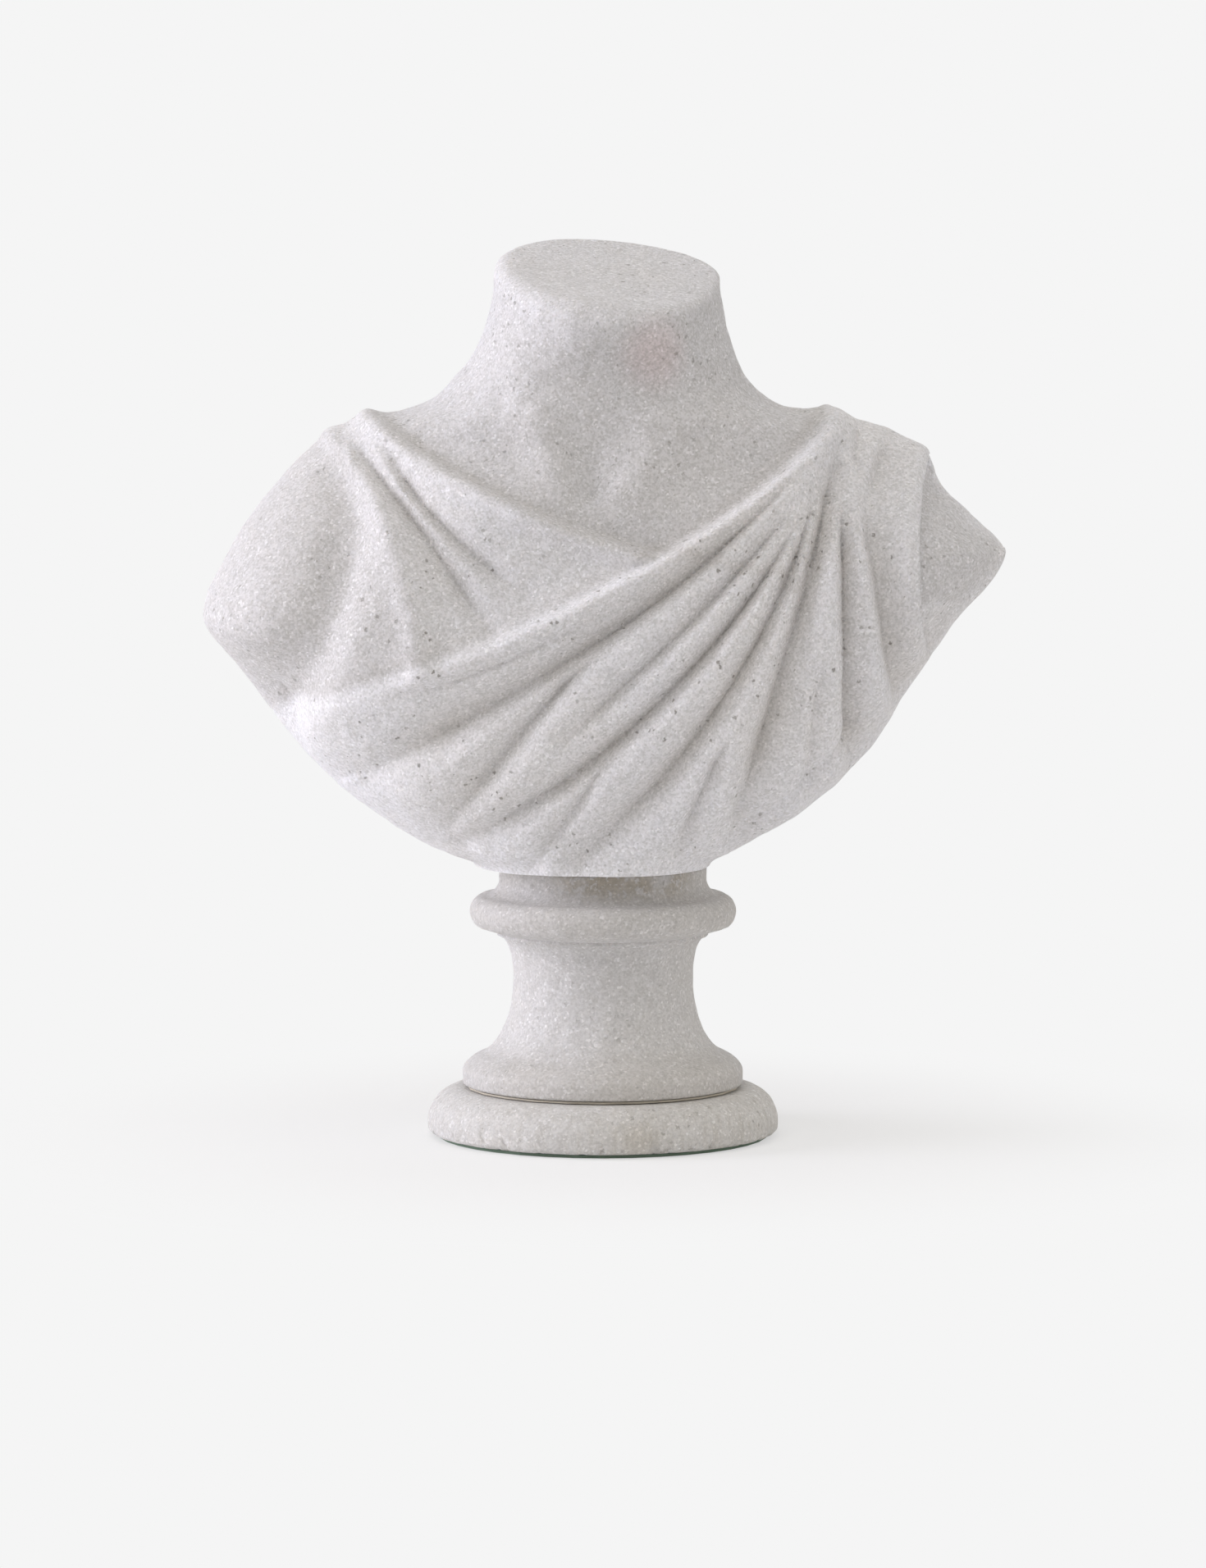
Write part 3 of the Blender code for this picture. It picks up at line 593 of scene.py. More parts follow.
def marble_group():
    """The group of nodes that every stone's material holds."""
    group = bpy.data.node_groups.new("sugar_marble", "ShaderNodeTree")
    for name, way, kind in (
        ("Light Stone", "INPUT", "NodeSocketColor"),
        ("Grey Stone", "INPUT", "NodeSocketColor"),
        ("Pit Amount", "INPUT", "NodeSocketFloat"),
        ("Dirt And Shade", "INPUT", "NodeSocketFloat"),
        ("Stain", "INPUT", "NodeSocketFloat"),
        ("Color", "OUTPUT", "NodeSocketColor"),
        ("Roughness", "OUTPUT", "NodeSocketFloat"),
        ("Height", "OUTPUT", "NodeSocketFloat"),
    ):
        group.interface.new_socket(name, in_out=way, socket_type=kind)
    given = node(group, "NodeGroupInput", (-1600, 0)).outputs
    done = node(group, "NodeGroupOutput", (1400, 0)).inputs
    where = node(group, "ShaderNodeTexCoord", (-1600, 400)).outputs["Object"]

    # Grains, fine and coarse unevenness and clouds add up to the stone's greyness
    grains = node(group, "ShaderNodeTexVoronoi", (-1200, 500))
    feed(group, grains.inputs["Vector"], where)
    grains.inputs["Scale"].default_value = GRAIN_SCALE
    grain = node(group, "ShaderNodeSeparateColor", (-1000, 500))
    feed(group, grain.inputs["Color"], grains.outputs["Color"])
    fine = clouded(group, where, FINE_SCALE, 3, (-1200, 200)).outputs["Fac"]
    patch = clouded(group, where, PATCH_SCALE, 2, (-1200, 0)).outputs["Fac"]
    cloud = clouded(group, where, CLOUD_SCALE, 4, (-1200, -200)).outputs["Fac"]
    balance = -(GRAIN_SHARE + FINE_SHARE + PATCH_SHARE + CLOUD_SHARE) / 2
    shade = maths(group, "MULTIPLY_ADD", grain.outputs["Red"], GRAIN_SHARE, (-800, 400), balance)
    for column, (part, share) in enumerate(
        ((fine, FINE_SHARE), (patch, PATCH_SHARE), (cloud, CLOUD_SHARE))
    ):
        weighed = maths(group, "MULTIPLY", part, share, (-1000, 200 - 200 * column))
        shade = maths(group, "ADD", shade, weighed, (-600 + 200 * column, 300 - 100 * column))
    contrast = maths(group, "MULTIPLY", shade, GREY_CONTRAST, (0, 100))
    greyness = maths(group, "SUBTRACT", GREY_MIDDLE, contrast, (150, 100), clamp=True)
    stone = blend(group, greyness, given["Light Stone"], given["Grey Stone"], (300, 100))
    warmth = clouded(group, where, WARMTH_SCALE, 2, (-1200, -400)).outputs["Fac"]
    warmth = spread(group, warmth, *WARM_PATCHES, (-1000, -400))
    stone = blend(group, warmth, stone, WARM_TINT, (500, 100), "MULTIPLY")
    glint = spread(group, grain.outputs["Blue"], *GLINT_CHANCE, (-400, 700))
    stone = blend(group, glint, stone, GLINT_LIGHT, (600, 200), "ADD")

    # Pits are some of the cells of a coarser, jogged pattern, and come in fields
    jog = clouded(group, where, PIT_JOG_SCALE, 1, (-1200, -600)).outputs["Color"]
    bent = node(group, "ShaderNodeVectorMath", (-1000, -600), operation="MULTIPLY_ADD")
    feed(group, bent.inputs[0], jog)
    bent.inputs[1].default_value = (PIT_JOG, PIT_JOG, PIT_JOG)
    feed(group, bent.inputs[2], where)
    pits = node(group, "ShaderNodeTexVoronoi", (-800, -600))
    feed(group, pits.inputs["Vector"], bent.outputs["Vector"])
    pits.inputs["Scale"].default_value = PIT_SCALE
    chance = node(group, "ShaderNodeSeparateColor", (-600, -700))
    feed(group, chance.inputs["Color"], pits.outputs["Color"])
    pit_size = maths(group, "MULTIPLY", chance.outputs["Green"], PIT_SPREAD, (-400, -700))
    pit_size = maths(group, "SUBTRACT", pit_size, PIT_LEAST, (-250, -700))
    pit = maths(group, "SUBTRACT", pit_size, pits.outputs["Distance"], (-100, -650))
    pit = maths(group, "MULTIPLY", pit, PIT_EDGE, (50, -650), clamp=True)
    field = clouded(group, where, PIT_FIELD_SCALE, 2, (-800, -900)).outputs["Fac"]
    field = spread(group, field, *PIT_FIELD, (-600, -900))
    sown = maths(group, "MULTIPLY", field, given["Pit Amount"], (-400, -900))
    pit = maths(group, "MULTIPLY", pit, sown, (200, -700), clamp=True)

    # Dirt and painted shade lie in clouds, stain and pits darken the stone, and the glinting grains are
    # smoother
    soil_and_shade = spread(group, cloud, *DIRT_AND_SHADE_PATCHES, (-400, -250), DIRT_AND_SHADE_LEAST)
    soil_and_shade = maths(group, "MULTIPLY", given["Dirt And Shade"], soil_and_shade, (300, -200))
    stone = blend(group, soil_and_shade, stone, DIRT_AND_SHADE_TINT, (700, 100), "MULTIPLY")
    stone = blend(group, given["Stain"], stone, STAIN_TINT, (900, 100), "MULTIPLY")
    stone = blend(group, pit, stone, PIT_TINT, (1100, 100), "MULTIPLY")
    polish = GLINT_ROUGHNESS - STONE_ROUGHNESS
    rough = maths(group, "MULTIPLY_ADD", glint, polish, (0, 700), STONE_ROUGHNESS)
    facets = maths(group, "MULTIPLY", grain.outputs["Green"], FACET_HEIGHT, (-400, 900))
    relief = maths(group, "ADD", facets, fine, (-200, 900))
    relief = maths(group, "ADD", relief, patch, (0, 900))
    sunk = maths(group, "MULTIPLY", pit, PIT_HEIGHT, (0, 1050))
    feed(group, done["Color"], stone)
    feed(group, done["Roughness"], rough)
    feed(group, done["Height"], maths(group, "SUBTRACT", relief, sunk, (200, 900)))
    return group


SUGAR_MARBLE = marble_group()


def marble(name, light, grey, pits):
    """A stone's material, its tree and its group of marble nodes, for what the stone adds of its own."""
    material = bpy.data.materials.new(name)
    material.use_nodes = True
    tree = material.node_tree
    shader = tree.nodes["Principled BSDF"]
    stone = node(tree, "ShaderNodeGroup", (-500, 0), node_tree=SUGAR_MARBLE)
    feed(tree, stone.inputs["Light Stone"], (*light, 1))
    feed(tree, stone.inputs["Grey Stone"], (*grey, 1))
    feed(tree, stone.inputs["Pit Amount"], pits)
    bump = node(tree, "ShaderNodeBump", (-250, -250))
    bump.inputs["Strength"].default_value = 0.55
    bump.inputs["Distance"].default_value = 0.00035
    feed(tree, bump.inputs["Height"], stone.outputs["Height"])
    feed(tree, shader.inputs["Base Color"], stone.outputs["Color"])
    feed(tree, shader.inputs["Roughness"], stone.outputs["Roughness"])
    feed(tree, shader.inputs["Normal"], bump.outputs["Normal"])
    shader.inputs["Subsurface Weight"].default_value = 0.22
    shader.inputs["Subsurface Radius"].default_value = (1.0, 0.86, 0.70)
    shader.inputs["Subsurface Scale"].default_value = 0.0035
    shader.inputs["Specular IOR Level"].default_value = 0.35
    return material, tree, stone


# The bust's own tones: its cloth is lighter than the rasped neck and chest and shows more pits; the
# lighter cloth is partly rubbed whiter and partly painted light, and the darker neck, chest and bare arm
# partly painted shade. Painted shade lies in the valleys of the folds and in the creases, and the neck
# has one faint pink patch.
SKIN_LIGHT, SKIN_GREY = (0.758, 0.748, 0.763), (0.572, 0.564, 0.561)
CLOTH_LIGHT, CLOTH_GREY = (0.905, 0.900, 0.932), (0.692, 0.690, 0.701)
SKIN_PITS, CLOTH_PITS = 0.6, 1.0
PITTED = 0.0, 0.6
BLUSH_PLACE = 0.019, -0.044, 0.268
BLUSH_REACH = 0.005, 0.018
BLUSH_SHARE = 0.8
BLUSH_TINT = 1.0, 0.90, 0.89, 1
bust_marble, tree, stone = marble("bust_marble", SKIN_LIGHT, SKIN_GREY, SKIN_PITS)
# Painted light and shade: the rubbed attribute lightens the cloth, partly rubbing and partly painted
# light, and the valley attribute darkens the folds' valleys and creases as painted shade.
rub_and_light = node(tree, "ShaderNodeAttribute", (-1300, 100), attribute_name="rubbed_and_lit").outputs["Fac"]
deep = node(tree, "ShaderNodeAttribute", (-1300, -150), attribute_name="valley_shade").outputs["Fac"]
where = node(tree, "ShaderNodeTexCoord", (-1300, 400)).outputs["Object"]
from_patch = distance_from(tree, where, BLUSH_PLACE, (-1100, 400))
blush = spread(tree, from_patch, *BLUSH_REACH, (-1100, 600), BLUSH_SHARE, 0.0)
light = blend(tree, rub_and_light, (*SKIN_LIGHT, 1), (*CLOTH_LIGHT, 1), (-900, 200))
grey = blend(tree, rub_and_light, (*SKIN_GREY, 1), (*CLOTH_GREY, 1), (-900, 0))
feed(tree, stone.inputs["Light Stone"], blend(tree, blush, light, BLUSH_TINT, (-700, 200), "MULTIPLY"))
feed(tree, stone.inputs["Grey Stone"], blend(tree, blush, grey, BLUSH_TINT, (-700, 0), "MULTIPLY"))
feed(tree, stone.inputs["Pit Amount"], spread(tree, rub_and_light, *PITTED, (-900, -300), SKIN_PITS, CLOTH_PITS))
feed(tree, stone.inputs["Dirt And Shade"], deep)
bust.data.materials.append(bust_marble)

# The socle is turned from the same marble in one piece: collar, ring, waist and flared foot. It is
# bored through for the rod and bedded in resin at both ends, which has stained its collar.
SOCLE_LOW, SOCLE_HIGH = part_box("socle")[0][2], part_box("socle")[1][2]
SOCLE_HEIGHT = SOCLE_HIGH - SOCLE_LOW
STONE_BORE = 0.0046
FOOT_RADIUS = 0.0480
FOOT_EDGE = 0.0040
FOOT_HEIGHT = 0.0105
FOOT_EASE = 0.0010
FOOT_SWELL = 42
SCOTIA_REACH = 0.0140
SCOTIA_TURN = 77.5
WAIST_RADIUS = 0.0306
WAIST_HEIGHT = 0.0374
WAIST_SHOULDER = 0.0055
RING_RADIUS = 0.0455
RING_HEIGHT = 0.0594
RING_EDGE = 0.0055
RING_ROUND = 0.0045
RING_FOOT = RING_RADIUS - RING_ROUND
RING_UNDERSIDE = 0.0514
COLLAR_RADIUS = 0.0355
COLLAR_EASE = 0.0008
COLLAR_LENGTH = 0.0045
COLLAR_END = SOCLE_HEIGHT - COLLAR_LENGTH
TURNED_STEPS = 400
PROFILE_STEP = 0.0015

# The socle's own tones, then where its stain and its painted shade go from none to full; the shade
# darkens the foot towards the plinth and the ring's top and the collar under the bust
SOCLE_LIGHT, SOCLE_GREY, SOCLE_PITS = (0.715, 0.705, 0.70), (0.580, 0.570, 0.560), 0.3
BLOTCH_SCALE, BLOTCHES = 95, (0.32, 0.60)
CRUMB_SCALE, CRUMBS = 620, (0.60, 0.54)
STAIN_UP = SOCLE_HIGH - 0.0110, SOCLE_HIGH - 0.0020
STAIN_FORWARD = -0.014, -0.030
STAIN_RIGHTWARD = -0.024, -0.004
FOOT_SHADE, FOOT_SHADE_SHARE = (SOCLE_LOW + 0.0170, SOCLE_LOW + 0.0090), 0.45
RING_SHADE, RING_SHADE_SHARE = (SOCLE_LOW + RING_UNDERSIDE, SOCLE_LOW + RING_HEIGHT), 0.5


def arc(middle, radii, first, last, count):
    """Points along part of an ellipse, between two angles in degrees."""
    angles = np.radians(np.linspace(first, last, count))
    return [(middle[0] + radii[0] * math.cos(a), middle[1] + radii[1] * math.sin(a)) for a in angles]


def turned_rings(profile):
    """Rings of a closed profile that runs down the outside, cut into short steps and rasped."""
    outline = [profile[0]]
    for here, there in zip(profile, profile[1:] + profile[:1]):
        pieces = max(1, round(math.dist(here, there) / PROFILE_STEP))
        for i in range(1, pieces + 1):
            outline.append(tuple(a + (b - a) * i / pieces for a, b in zip(here, there)))
    radius, height = np.array(outline).T
    turn = np.linspace(0, 2 * math.pi, TURNED_STEPS, endpoint=False)
    rings = np.stack(
        [
            np.outer(radius, np.cos(turn)),
            np.outer(radius, np.sin(turn)),
            np.repeat(height[:, None], TURNED_STEPS, axis=1),
        ],
        axis=-1,
    )
    outside = ramp(2 * STONE_BORE, 4 * STONE_BORE, radius)[:, None]
    swell = 1 + outside * rasp_marks(rings, RASP_DEPTH) / np.maximum(radius, STONE_BORE)[:, None]
    rings[:, :, :2] *= swell[:, :, None]
    return rings


scotia_turn, foot_swell = math.radians(SCOTIA_TURN), math.radians(FOOT_SWELL)
scotia_drop = (WAIST_HEIGHT - FOOT_HEIGHT) / math.sin(scotia_turn)
scotia_end = WAIST_RADIUS + SCOTIA_REACH * (1 - math.cos(scotia_turn))
swell_reach = (FOOT_RADIUS - scotia_end) / (1 - math.cos(foot_swell))
swell_rise = (FOOT_HEIGHT - FOOT_EDGE) / math.sin(foot_swell)
socle_profile = [(STONE_BORE, SOCLE_HEIGHT)]
socle_profile += arc(
    (COLLAR_RADIUS - COLLAR_EASE, SOCLE_HEIGHT - COLLAR_EASE), (COLLAR_EASE, COLLAR_EASE), 90, 0, 4
)
hollow_radii = RING_FOOT - COLLAR_RADIUS, COLLAR_END - RING_HEIGHT - RING_EDGE
socle_profile += arc((RING_FOOT, COLLAR_END), hollow_radii, 180, 262, 14)
socle_profile += arc((RING_FOOT, RING_HEIGHT), (RING_RADIUS - RING_FOOT, RING_EDGE), 78, -60, 24)
socle_profile += [(RING_FOOT - WAIST_SHOULDER + FOOT_EASE / 2, RING_UNDERSIDE + FOOT_EASE)]
shoulder_radii = WAIST_SHOULDER, RING_UNDERSIDE - WAIST_HEIGHT
socle_profile += arc((WAIST_RADIUS + WAIST_SHOULDER, WAIST_HEIGHT), shoulder_radii, 90, 174, 18)
socle_profile += arc(
    (WAIST_RADIUS + SCOTIA_REACH, WAIST_HEIGHT), (SCOTIA_REACH, scotia_drop), 180, 180 + SCOTIA_TURN, 30
)
foot_radii = swell_reach, swell_rise
socle_profile += arc((FOOT_RADIUS - swell_reach, FOOT_EDGE), foot_radii, FOOT_SWELL, 0, 14)[1:]
socle_profile += arc((FOOT_RADIUS - FOOT_EASE, FOOT_EASE), (FOOT_EASE, FOOT_EASE), 0, -90, 6)
socle_profile += [(STONE_BORE, 0)]
socle_rings = turned_rings(socle_profile)
socle_rings[:, :, 2] += SOCLE_LOW
socle, _, _ = wrapped_sheet("socle_turned", socle_rings)
close_sheet()
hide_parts("socle")
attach(socle, "root")
socle_marble, tree, stone = marble("socle_marble", SOCLE_LIGHT, SOCLE_GREY, SOCLE_PITS)
where = node(tree, "ShaderNodeTexCoord", (-1500, 0)).outputs["Object"]
apart = node(tree, "ShaderNodeSeparateXYZ", (-1300, 0))
feed(tree, apart.inputs["Vector"], where)
blotch = clouded(tree, where, BLOTCH_SCALE, 3, (-1300, -200)).outputs["Fac"]
blotch = spread(tree, blotch, *BLOTCHES, (-1100, -200))
crumb = clouded(tree, where, CRUMB_SCALE, 2, (-1300, -600)).outputs["Fac"]
crumb = spread(tree, crumb, *CRUMBS, (-1100, -600))
below_bust = spread(tree, apart.outputs["Z"], *STAIN_UP, (-1100, 0))
in_front = spread(tree, apart.outputs["Y"], *STAIN_FORWARD, (-1100, -400))
on_right = spread(tree, apart.outputs["X"], *STAIN_RIGHTWARD, (-1100, 200))
soaked = maths(tree, "MULTIPLY", blotch, below_bust, (-900, 0))
soaked = maths(tree, "MULTIPLY", soaked, crumb, (-900, -200))
soaked = maths(tree, "MULTIPLY", soaked, on_right, (-900, 200))
# Painted shade: the foot darkens towards the plinth, and the ring's top and the collar darken under the
# bust.
foot_shade = spread(tree, apart.outputs["Z"], *FOOT_SHADE, (-1100, 400), 0.0, FOOT_SHADE_SHARE)
ring_shade = spread(tree, apart.outputs["Z"], *RING_SHADE, (-1100, 600), 0.0, RING_SHADE_SHARE)
feed(tree, stone.inputs["Dirt And Shade"], maths(tree, "ADD", foot_shade, ring_shade, (-900, 500)))
feed(tree, stone.inputs["Stain"], maths(tree, "MULTIPLY", soaked, in_front, (-750, 0)))
socle.data.materials.append(socle_marble)

# The plinth is a low turned disc of a slightly warmer marble, rounded over above and chipped along its
# foot. Its underside is sunk for the nut and washer that pull the stones together on the rod.
PLINTH_LOW, PLINTH_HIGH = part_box("plinth")[0][2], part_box("plinth")[1][2]
PLINTH_HEIGHT = PLINTH_HIGH - PLINTH_LOW
PLINTH_RADIUS = 0.0600
PLINTH_ROUND = 0.0112
PLINTH_FOOT = 0.0022
WELL_RADIUS = 0.0135
WELL_HEIGHT = 0.0087
CHIP_DEPTH = 0.0014
CHIP_SCALE = 2.6
CHIP_LEAST = 0.7
CHIPPED_UP_TO = 0.0050, 0.0010

# The plinth's own tones, its upright streaks of dirt and one small stain in front
PLINTH_LIGHT, PLINTH_GREY, PLINTH_PITS = (0.725, 0.715, 0.70), (0.595, 0.585, 0.57), 0.5
STREAK_SCALE = 420
STREAK_STRETCH = 1, 1, 0.06
STREAKS, STREAK_DIRT = (0.45, 0.68), (0.08, 0.50)
PLINTH_STAIN = 0.012, -0.058, 0.006
PLINTH_STAIN_REACH, PLINTH_STAIN_SHARE = (0.002, 0.009), 0.4

plinth_profile = [(STONE_BORE, PLINTH_HEIGHT)]
round_middle = PLINTH_RADIUS - PLINTH_ROUND, PLINTH_HEIGHT - PLINTH_ROUND
plinth_profile += arc(round_middle, (PLINTH_ROUND, PLINTH_ROUND), 90, 0, 20)
plinth_profile += arc((PLINTH_RADIUS - PLINTH_FOOT, PLINTH_FOOT), (PLINTH_FOOT, PLINTH_FOOT), 0, -90, 6)
plinth_profile += [(WELL_RADIUS, 0), (WELL_RADIUS, WELL_HEIGHT), (STONE_BORE, WELL_HEIGHT)]
plinth_rings = turned_rings(plinth_profile)
chips = np.clip(rasp_marks(plinth_rings * CHIP_SCALE, 1.0) - CHIP_LEAST, 0, 1)
chips *= ramp(*CHIPPED_UP_TO, plinth_rings[:, :, 2])
plinth_rings[:, :, :2] *= 1 - CHIP_DEPTH / PLINTH_RADIUS * chips[:, :, None]
plinth_rings[:, :, 2] += PLINTH_LOW
plinth, _, _ = wrapped_sheet("plinth_turned", plinth_rings)
close_sheet()
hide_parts("plinth")
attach(plinth, "root")
plinth_marble, tree, stone = marble("plinth_marble", PLINTH_LIGHT, PLINTH_GREY, PLINTH_PITS)
where = node(tree, "ShaderNodeTexCoord", (-1500, 0)).outputs["Object"]
upright = node(tree, "ShaderNodeVectorMath", (-1300, 0), operation="MULTIPLY")
feed(tree, upright.inputs[0], where)
upright.inputs[1].default_value = STREAK_STRETCH
streak = clouded(tree, upright.outputs["Vector"], STREAK_SCALE, 2, (-1100, 0)).outputs["Fac"]
feed(tree, stone.inputs["Dirt And Shade"], spread(tree, streak, *STREAKS, (-900, 0), *STREAK_DIRT))
from_stain = distance_from(tree, where, PLINTH_STAIN, (-1300, -300))
stained = spread(tree, from_stain, *PLINTH_STAIN_REACH, (-900, -300), PLINTH_STAIN_SHARE, 0.0)
feed(tree, stone.inputs["Stain"], stained)
plinth.data.materials.append(plinth_marble)


# The beds between the stones and the sleeve round the rod are cured polyester resin, a dull honey grey
# with marble dust in it. Poured in place, they are the CAD nodes themselves.
def noise_finish(name, first, second, scale, roughness, metallic=0.0, bump_depth=0.00005):
    """A material that wavers between two tones, with a fine bump from the same noise."""
    material = bpy.data.materials.new(name)
    material.use_nodes = True
    tree = material.node_tree
    shader = tree.nodes["Principled BSDF"]
    where = node(tree, "ShaderNodeTexCoord", (-900, 0)).outputs["Object"]
    noise = clouded(tree, where, scale, 5, (-700, 0)).outputs["Fac"]
    bump = node(tree, "ShaderNodeBump", (-250, -250))
    bump.inputs["Distance"].default_value = bump_depth
    feed(tree, bump.inputs["Height"], noise)
    tone = blend(tree, noise, (*first, 1), (*second, 1), (-450, 100))
    feed(tree, shader.inputs["Base Color"], tone)
    feed(tree, shader.inputs["Normal"], bump.outputs["Normal"])
    shader.inputs["Roughness"].default_value = roughness
    shader.inputs["Metallic"].default_value = metallic
    return material


def finish_node(name, material):
    """Gives a CAD node its material."""
    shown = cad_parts[name]
    shown.data.materials.clear()
    shown.data.materials.append(material)


RESIN_DARK, RESIN_LIGHT = (0.55, 0.50, 0.41), (0.69, 0.64, 0.53)
resin = noise_finish("bedding_resin", RESIN_DARK, RESIN_LIGHT, scale=900, roughness=0.5)
for name in ("bust_bedding", "plinth_bedding", "rod_resin"):
    finish_node(name, resin)

# The tie rod, its nut and its washer are zinc-plated steel, bought ready made. They clamp the stones
# from below and are the CAD nodes themselves.
ZINC_DARK, ZINC_LIGHT = (0.55, 0.56, 0.58), (0.70, 0.71, 0.73)
zinc = noise_finish(
    "zinc_steel", ZINC_DARK, ZINC_LIGHT, scale=500, roughness=0.34, metallic=1.0, bump_depth=0.00002
)
for name in ("tie_rod", "rod_nut", "rod_washer"):
    finish_node(name, zinc)

# The felt disc is pressed green wool, cut round and glued under the plinth. It is the CAD node itself,
# with a coarser bump for its nap.
FELT_DARK, FELT_LIGHT = (0.17, 0.24, 0.18), (0.23, 0.32, 0.24)
felt = noise_finish(
    "pressed_felt", FELT_DARK, FELT_LIGHT, scale=2500, roughness=0.95, bump_depth=0.0003
)
finish_node("felt_disc", felt)

# The studio has a pale paper floor that fades into an even backdrop, and a sky that lights softly from
# above. The camera sees the floor's own light near the bust and the backdrop's tone further out.
BACKDROP = 0.913
PAPER = 0.86
FLOOR_RADIUS = 1.6
FLOOR_DROP = 0.0001
FLOOR_FADE, FLOOR_FADED_NEAR = (0.07, 0.24), 0.5
FLOOR_LIT = 0.820
FLOOR_BOUNCE = 0.05
SKY_TINT = 1.0, 0.965, 0.926, 1
SKY_LOW = 0.13
SKY_HIGH = 0.80
bpy.ops.object.select_all(action="DESELECT")
bpy.ops.mesh.primitive_circle_add(
    vertices=128, radius=FLOOR_RADIUS, fill_type="NGON", location=(0, 0, -FLOOR_DROP)
)
floor = bpy.context.object
floor.name = "studio_floor"
paper = bpy.data.materials.new("studio_paper")
paper.use_nodes = True
tree = paper.node_tree
tree.nodes.clear()
output = node(tree, "ShaderNodeOutputMaterial", (800, 0))
where = node(tree, "ShaderNodeTexCoord", (-900, 0)).outputs["Object"]
distance = node(tree, "ShaderNodeVectorMath", (-700, 0), operation="LENGTH")
feed(tree, distance.inputs[0], where)
edge = spread(tree, distance.outputs["Value"], *FLOOR_FADE, (-500, 0), FLOOR_FADED_NEAR)
seen = node(tree, "ShaderNodeLightPath", (-500, 300)).outputs["Is Camera Ray"]
plain = maths(tree, "MULTIPLY", edge, seen, (-300, 200))
shown = maths(tree, "SUBTRACT", 1, plain, (-100, 200))
lit = node(tree, "ShaderNodeBsdfDiffuse", (350, 150))
feed(tree, lit.inputs["Color"], blend(tree, shown, (0, 0, 0, 1), (PAPER, PAPER, PAPER, 1), (100, 250)))
missing = maths(tree, "MULTIPLY_ADD", shown, -FLOOR_LIT, (100, -50), BACKDROP)
strength = node(tree, "ShaderNodeMix", (250, -50))
feed(tree, strength.inputs["Factor"], seen)
feed(tree, strength.inputs[2], FLOOR_BOUNCE)
feed(tree, strength.inputs[3], missing)
glow = node(tree, "ShaderNodeEmission", (400, -50))
feed(tree, glow.inputs["Strength"], strength.outputs[0])
both = node(tree, "ShaderNodeAddShader", (600, 0))
feed(tree, both.inputs[0], lit.outputs[0])
feed(tree, both.inputs[1], glow.outputs[0])
feed(tree, output.inputs["Surface"], both.outputs[0])
floor.data.materials.append(paper)

world = bpy.context.scene.world or bpy.data.worlds.new("studio")
bpy.context.scene.world = world
world.use_nodes = True
tree = world.node_tree
tree.nodes.clear()
output = node(tree, "ShaderNodeOutputWorld", (600, 0))
bearing = node(tree, "ShaderNodeTexCoord", (-900, 100)).outputs["Generated"]
upward = node(tree, "ShaderNodeSeparateXYZ", (-700, 100))
feed(tree, upward.inputs["Vector"], bearing)
overhead = node(tree, "ShaderNodeMapRange", (-500, 100))
feed(tree, overhead.inputs["Value"], upward.outputs["Z"])
feed(tree, overhead.inputs["To Min"], SKY_LOW)
feed(tree, overhead.inputs["To Max"], SKY_HIGH)
sky = node(tree, "ShaderNodeBackground", (0, 100))
feed(tree, sky.inputs["Color"], SKY_TINT)
feed(tree, sky.inputs["Strength"], overhead.outputs["Result"])
backdrop = node(tree, "ShaderNodeBackground", (0, -100))
feed(tree, backdrop.inputs["Color"], (BACKDROP, BACKDROP, BACKDROP, 1))
ray = node(tree, "ShaderNodeLightPath", (-300, 300)).outputs
seen = maths(tree, "MAXIMUM", ray["Is Camera Ray"], ray["Is Glossy Ray"], (0, 300))
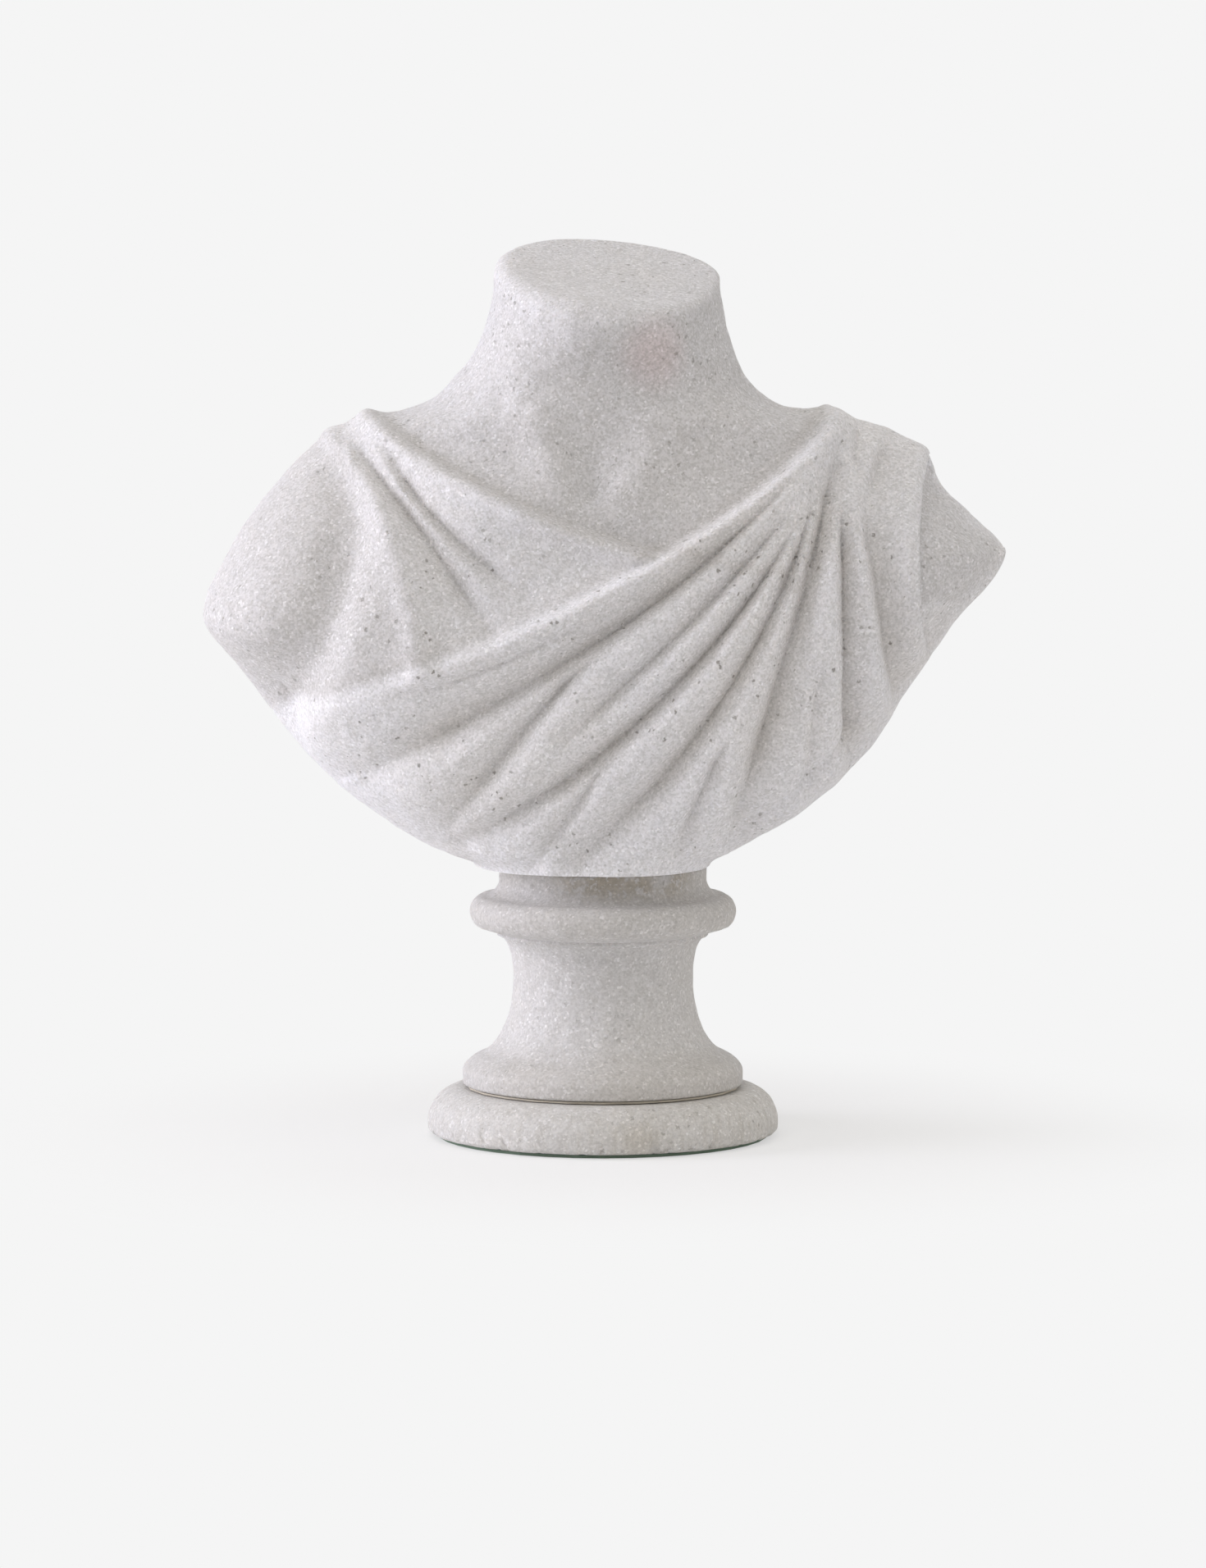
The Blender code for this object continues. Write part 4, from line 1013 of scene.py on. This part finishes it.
mixed = node(tree, "ShaderNodeMixShader", (300, 0))
feed(tree, mixed.inputs["Fac"], seen)
feed(tree, mixed.inputs[1], sky.outputs[0])
feed(tree, mixed.inputs[2], backdrop.outputs[0])
feed(tree, output.inputs["Surface"], mixed.outputs[0])


# Three square area lights are aimed at the bust: a broad, cool key from the upper left, and two weaker,
# warmer fills from the front and the right.
def area_light(name, place, size, watts, colour, target=(0, 0, 0.17)):
    """A square light turned towards the target, the middle of the bust."""
    lamp = bpy.data.lights.new(name, "AREA")
    lamp.shape = "SQUARE"
    lamp.size = size
    lamp.energy = watts
    lamp.color = colour
    obj = bpy.data.objects.new(name, lamp)
    bpy.context.scene.collection.objects.link(obj)
    obj.location = place
    aim = [t - p for t, p in zip(target, place)]
    obj.rotation_euler = (
        math.atan2(math.hypot(aim[0], aim[1]), -aim[2]),
        0,
        math.atan2(aim[1], aim[0]) - math.pi / 2,
    )


area_light("key_light", (-2.25, -0.12, 0.76), size=1.2, watts=37.5, colour=(0.905, 0.892, 1.0))
area_light("front_fill", (-0.7, -1.5, 1.9), size=1.5, watts=8, colour=(1.0, 0.98, 0.97))
area_light("right_fill", (1.9, -0.7, 0.7), size=1.4, watts=5.8, colour=(1.0, 0.97, 0.95))

# The camera stands about 2.4 m off, a little above the neck, and looks slightly down. Its long lens is
# given by the picture's focal length in pixels of the photo.
CAMERA_PLACE = (0.0, -2.41, 0.357)
CAMERA_PITCH = 5.6
FOCAL_PIXELS = 8639
PHOTO_WIDTH = 1470
camera_data = bpy.data.cameras.new("photo_camera")
camera_data.sensor_fit = "HORIZONTAL"
camera_data.sensor_width = 36
camera_data.lens = FOCAL_PIXELS / PHOTO_WIDTH * camera_data.sensor_width
camera_data.clip_end = 20
camera = bpy.data.objects.new("photo_camera", camera_data)
bpy.context.scene.collection.objects.link(camera)
camera.location = CAMERA_PLACE
camera.rotation_euler = (math.radians(90 - CAMERA_PITCH), 0, 0)
bpy.context.scene.camera = camera
bpy.context.scene.view_settings.view_transform = "Standard"
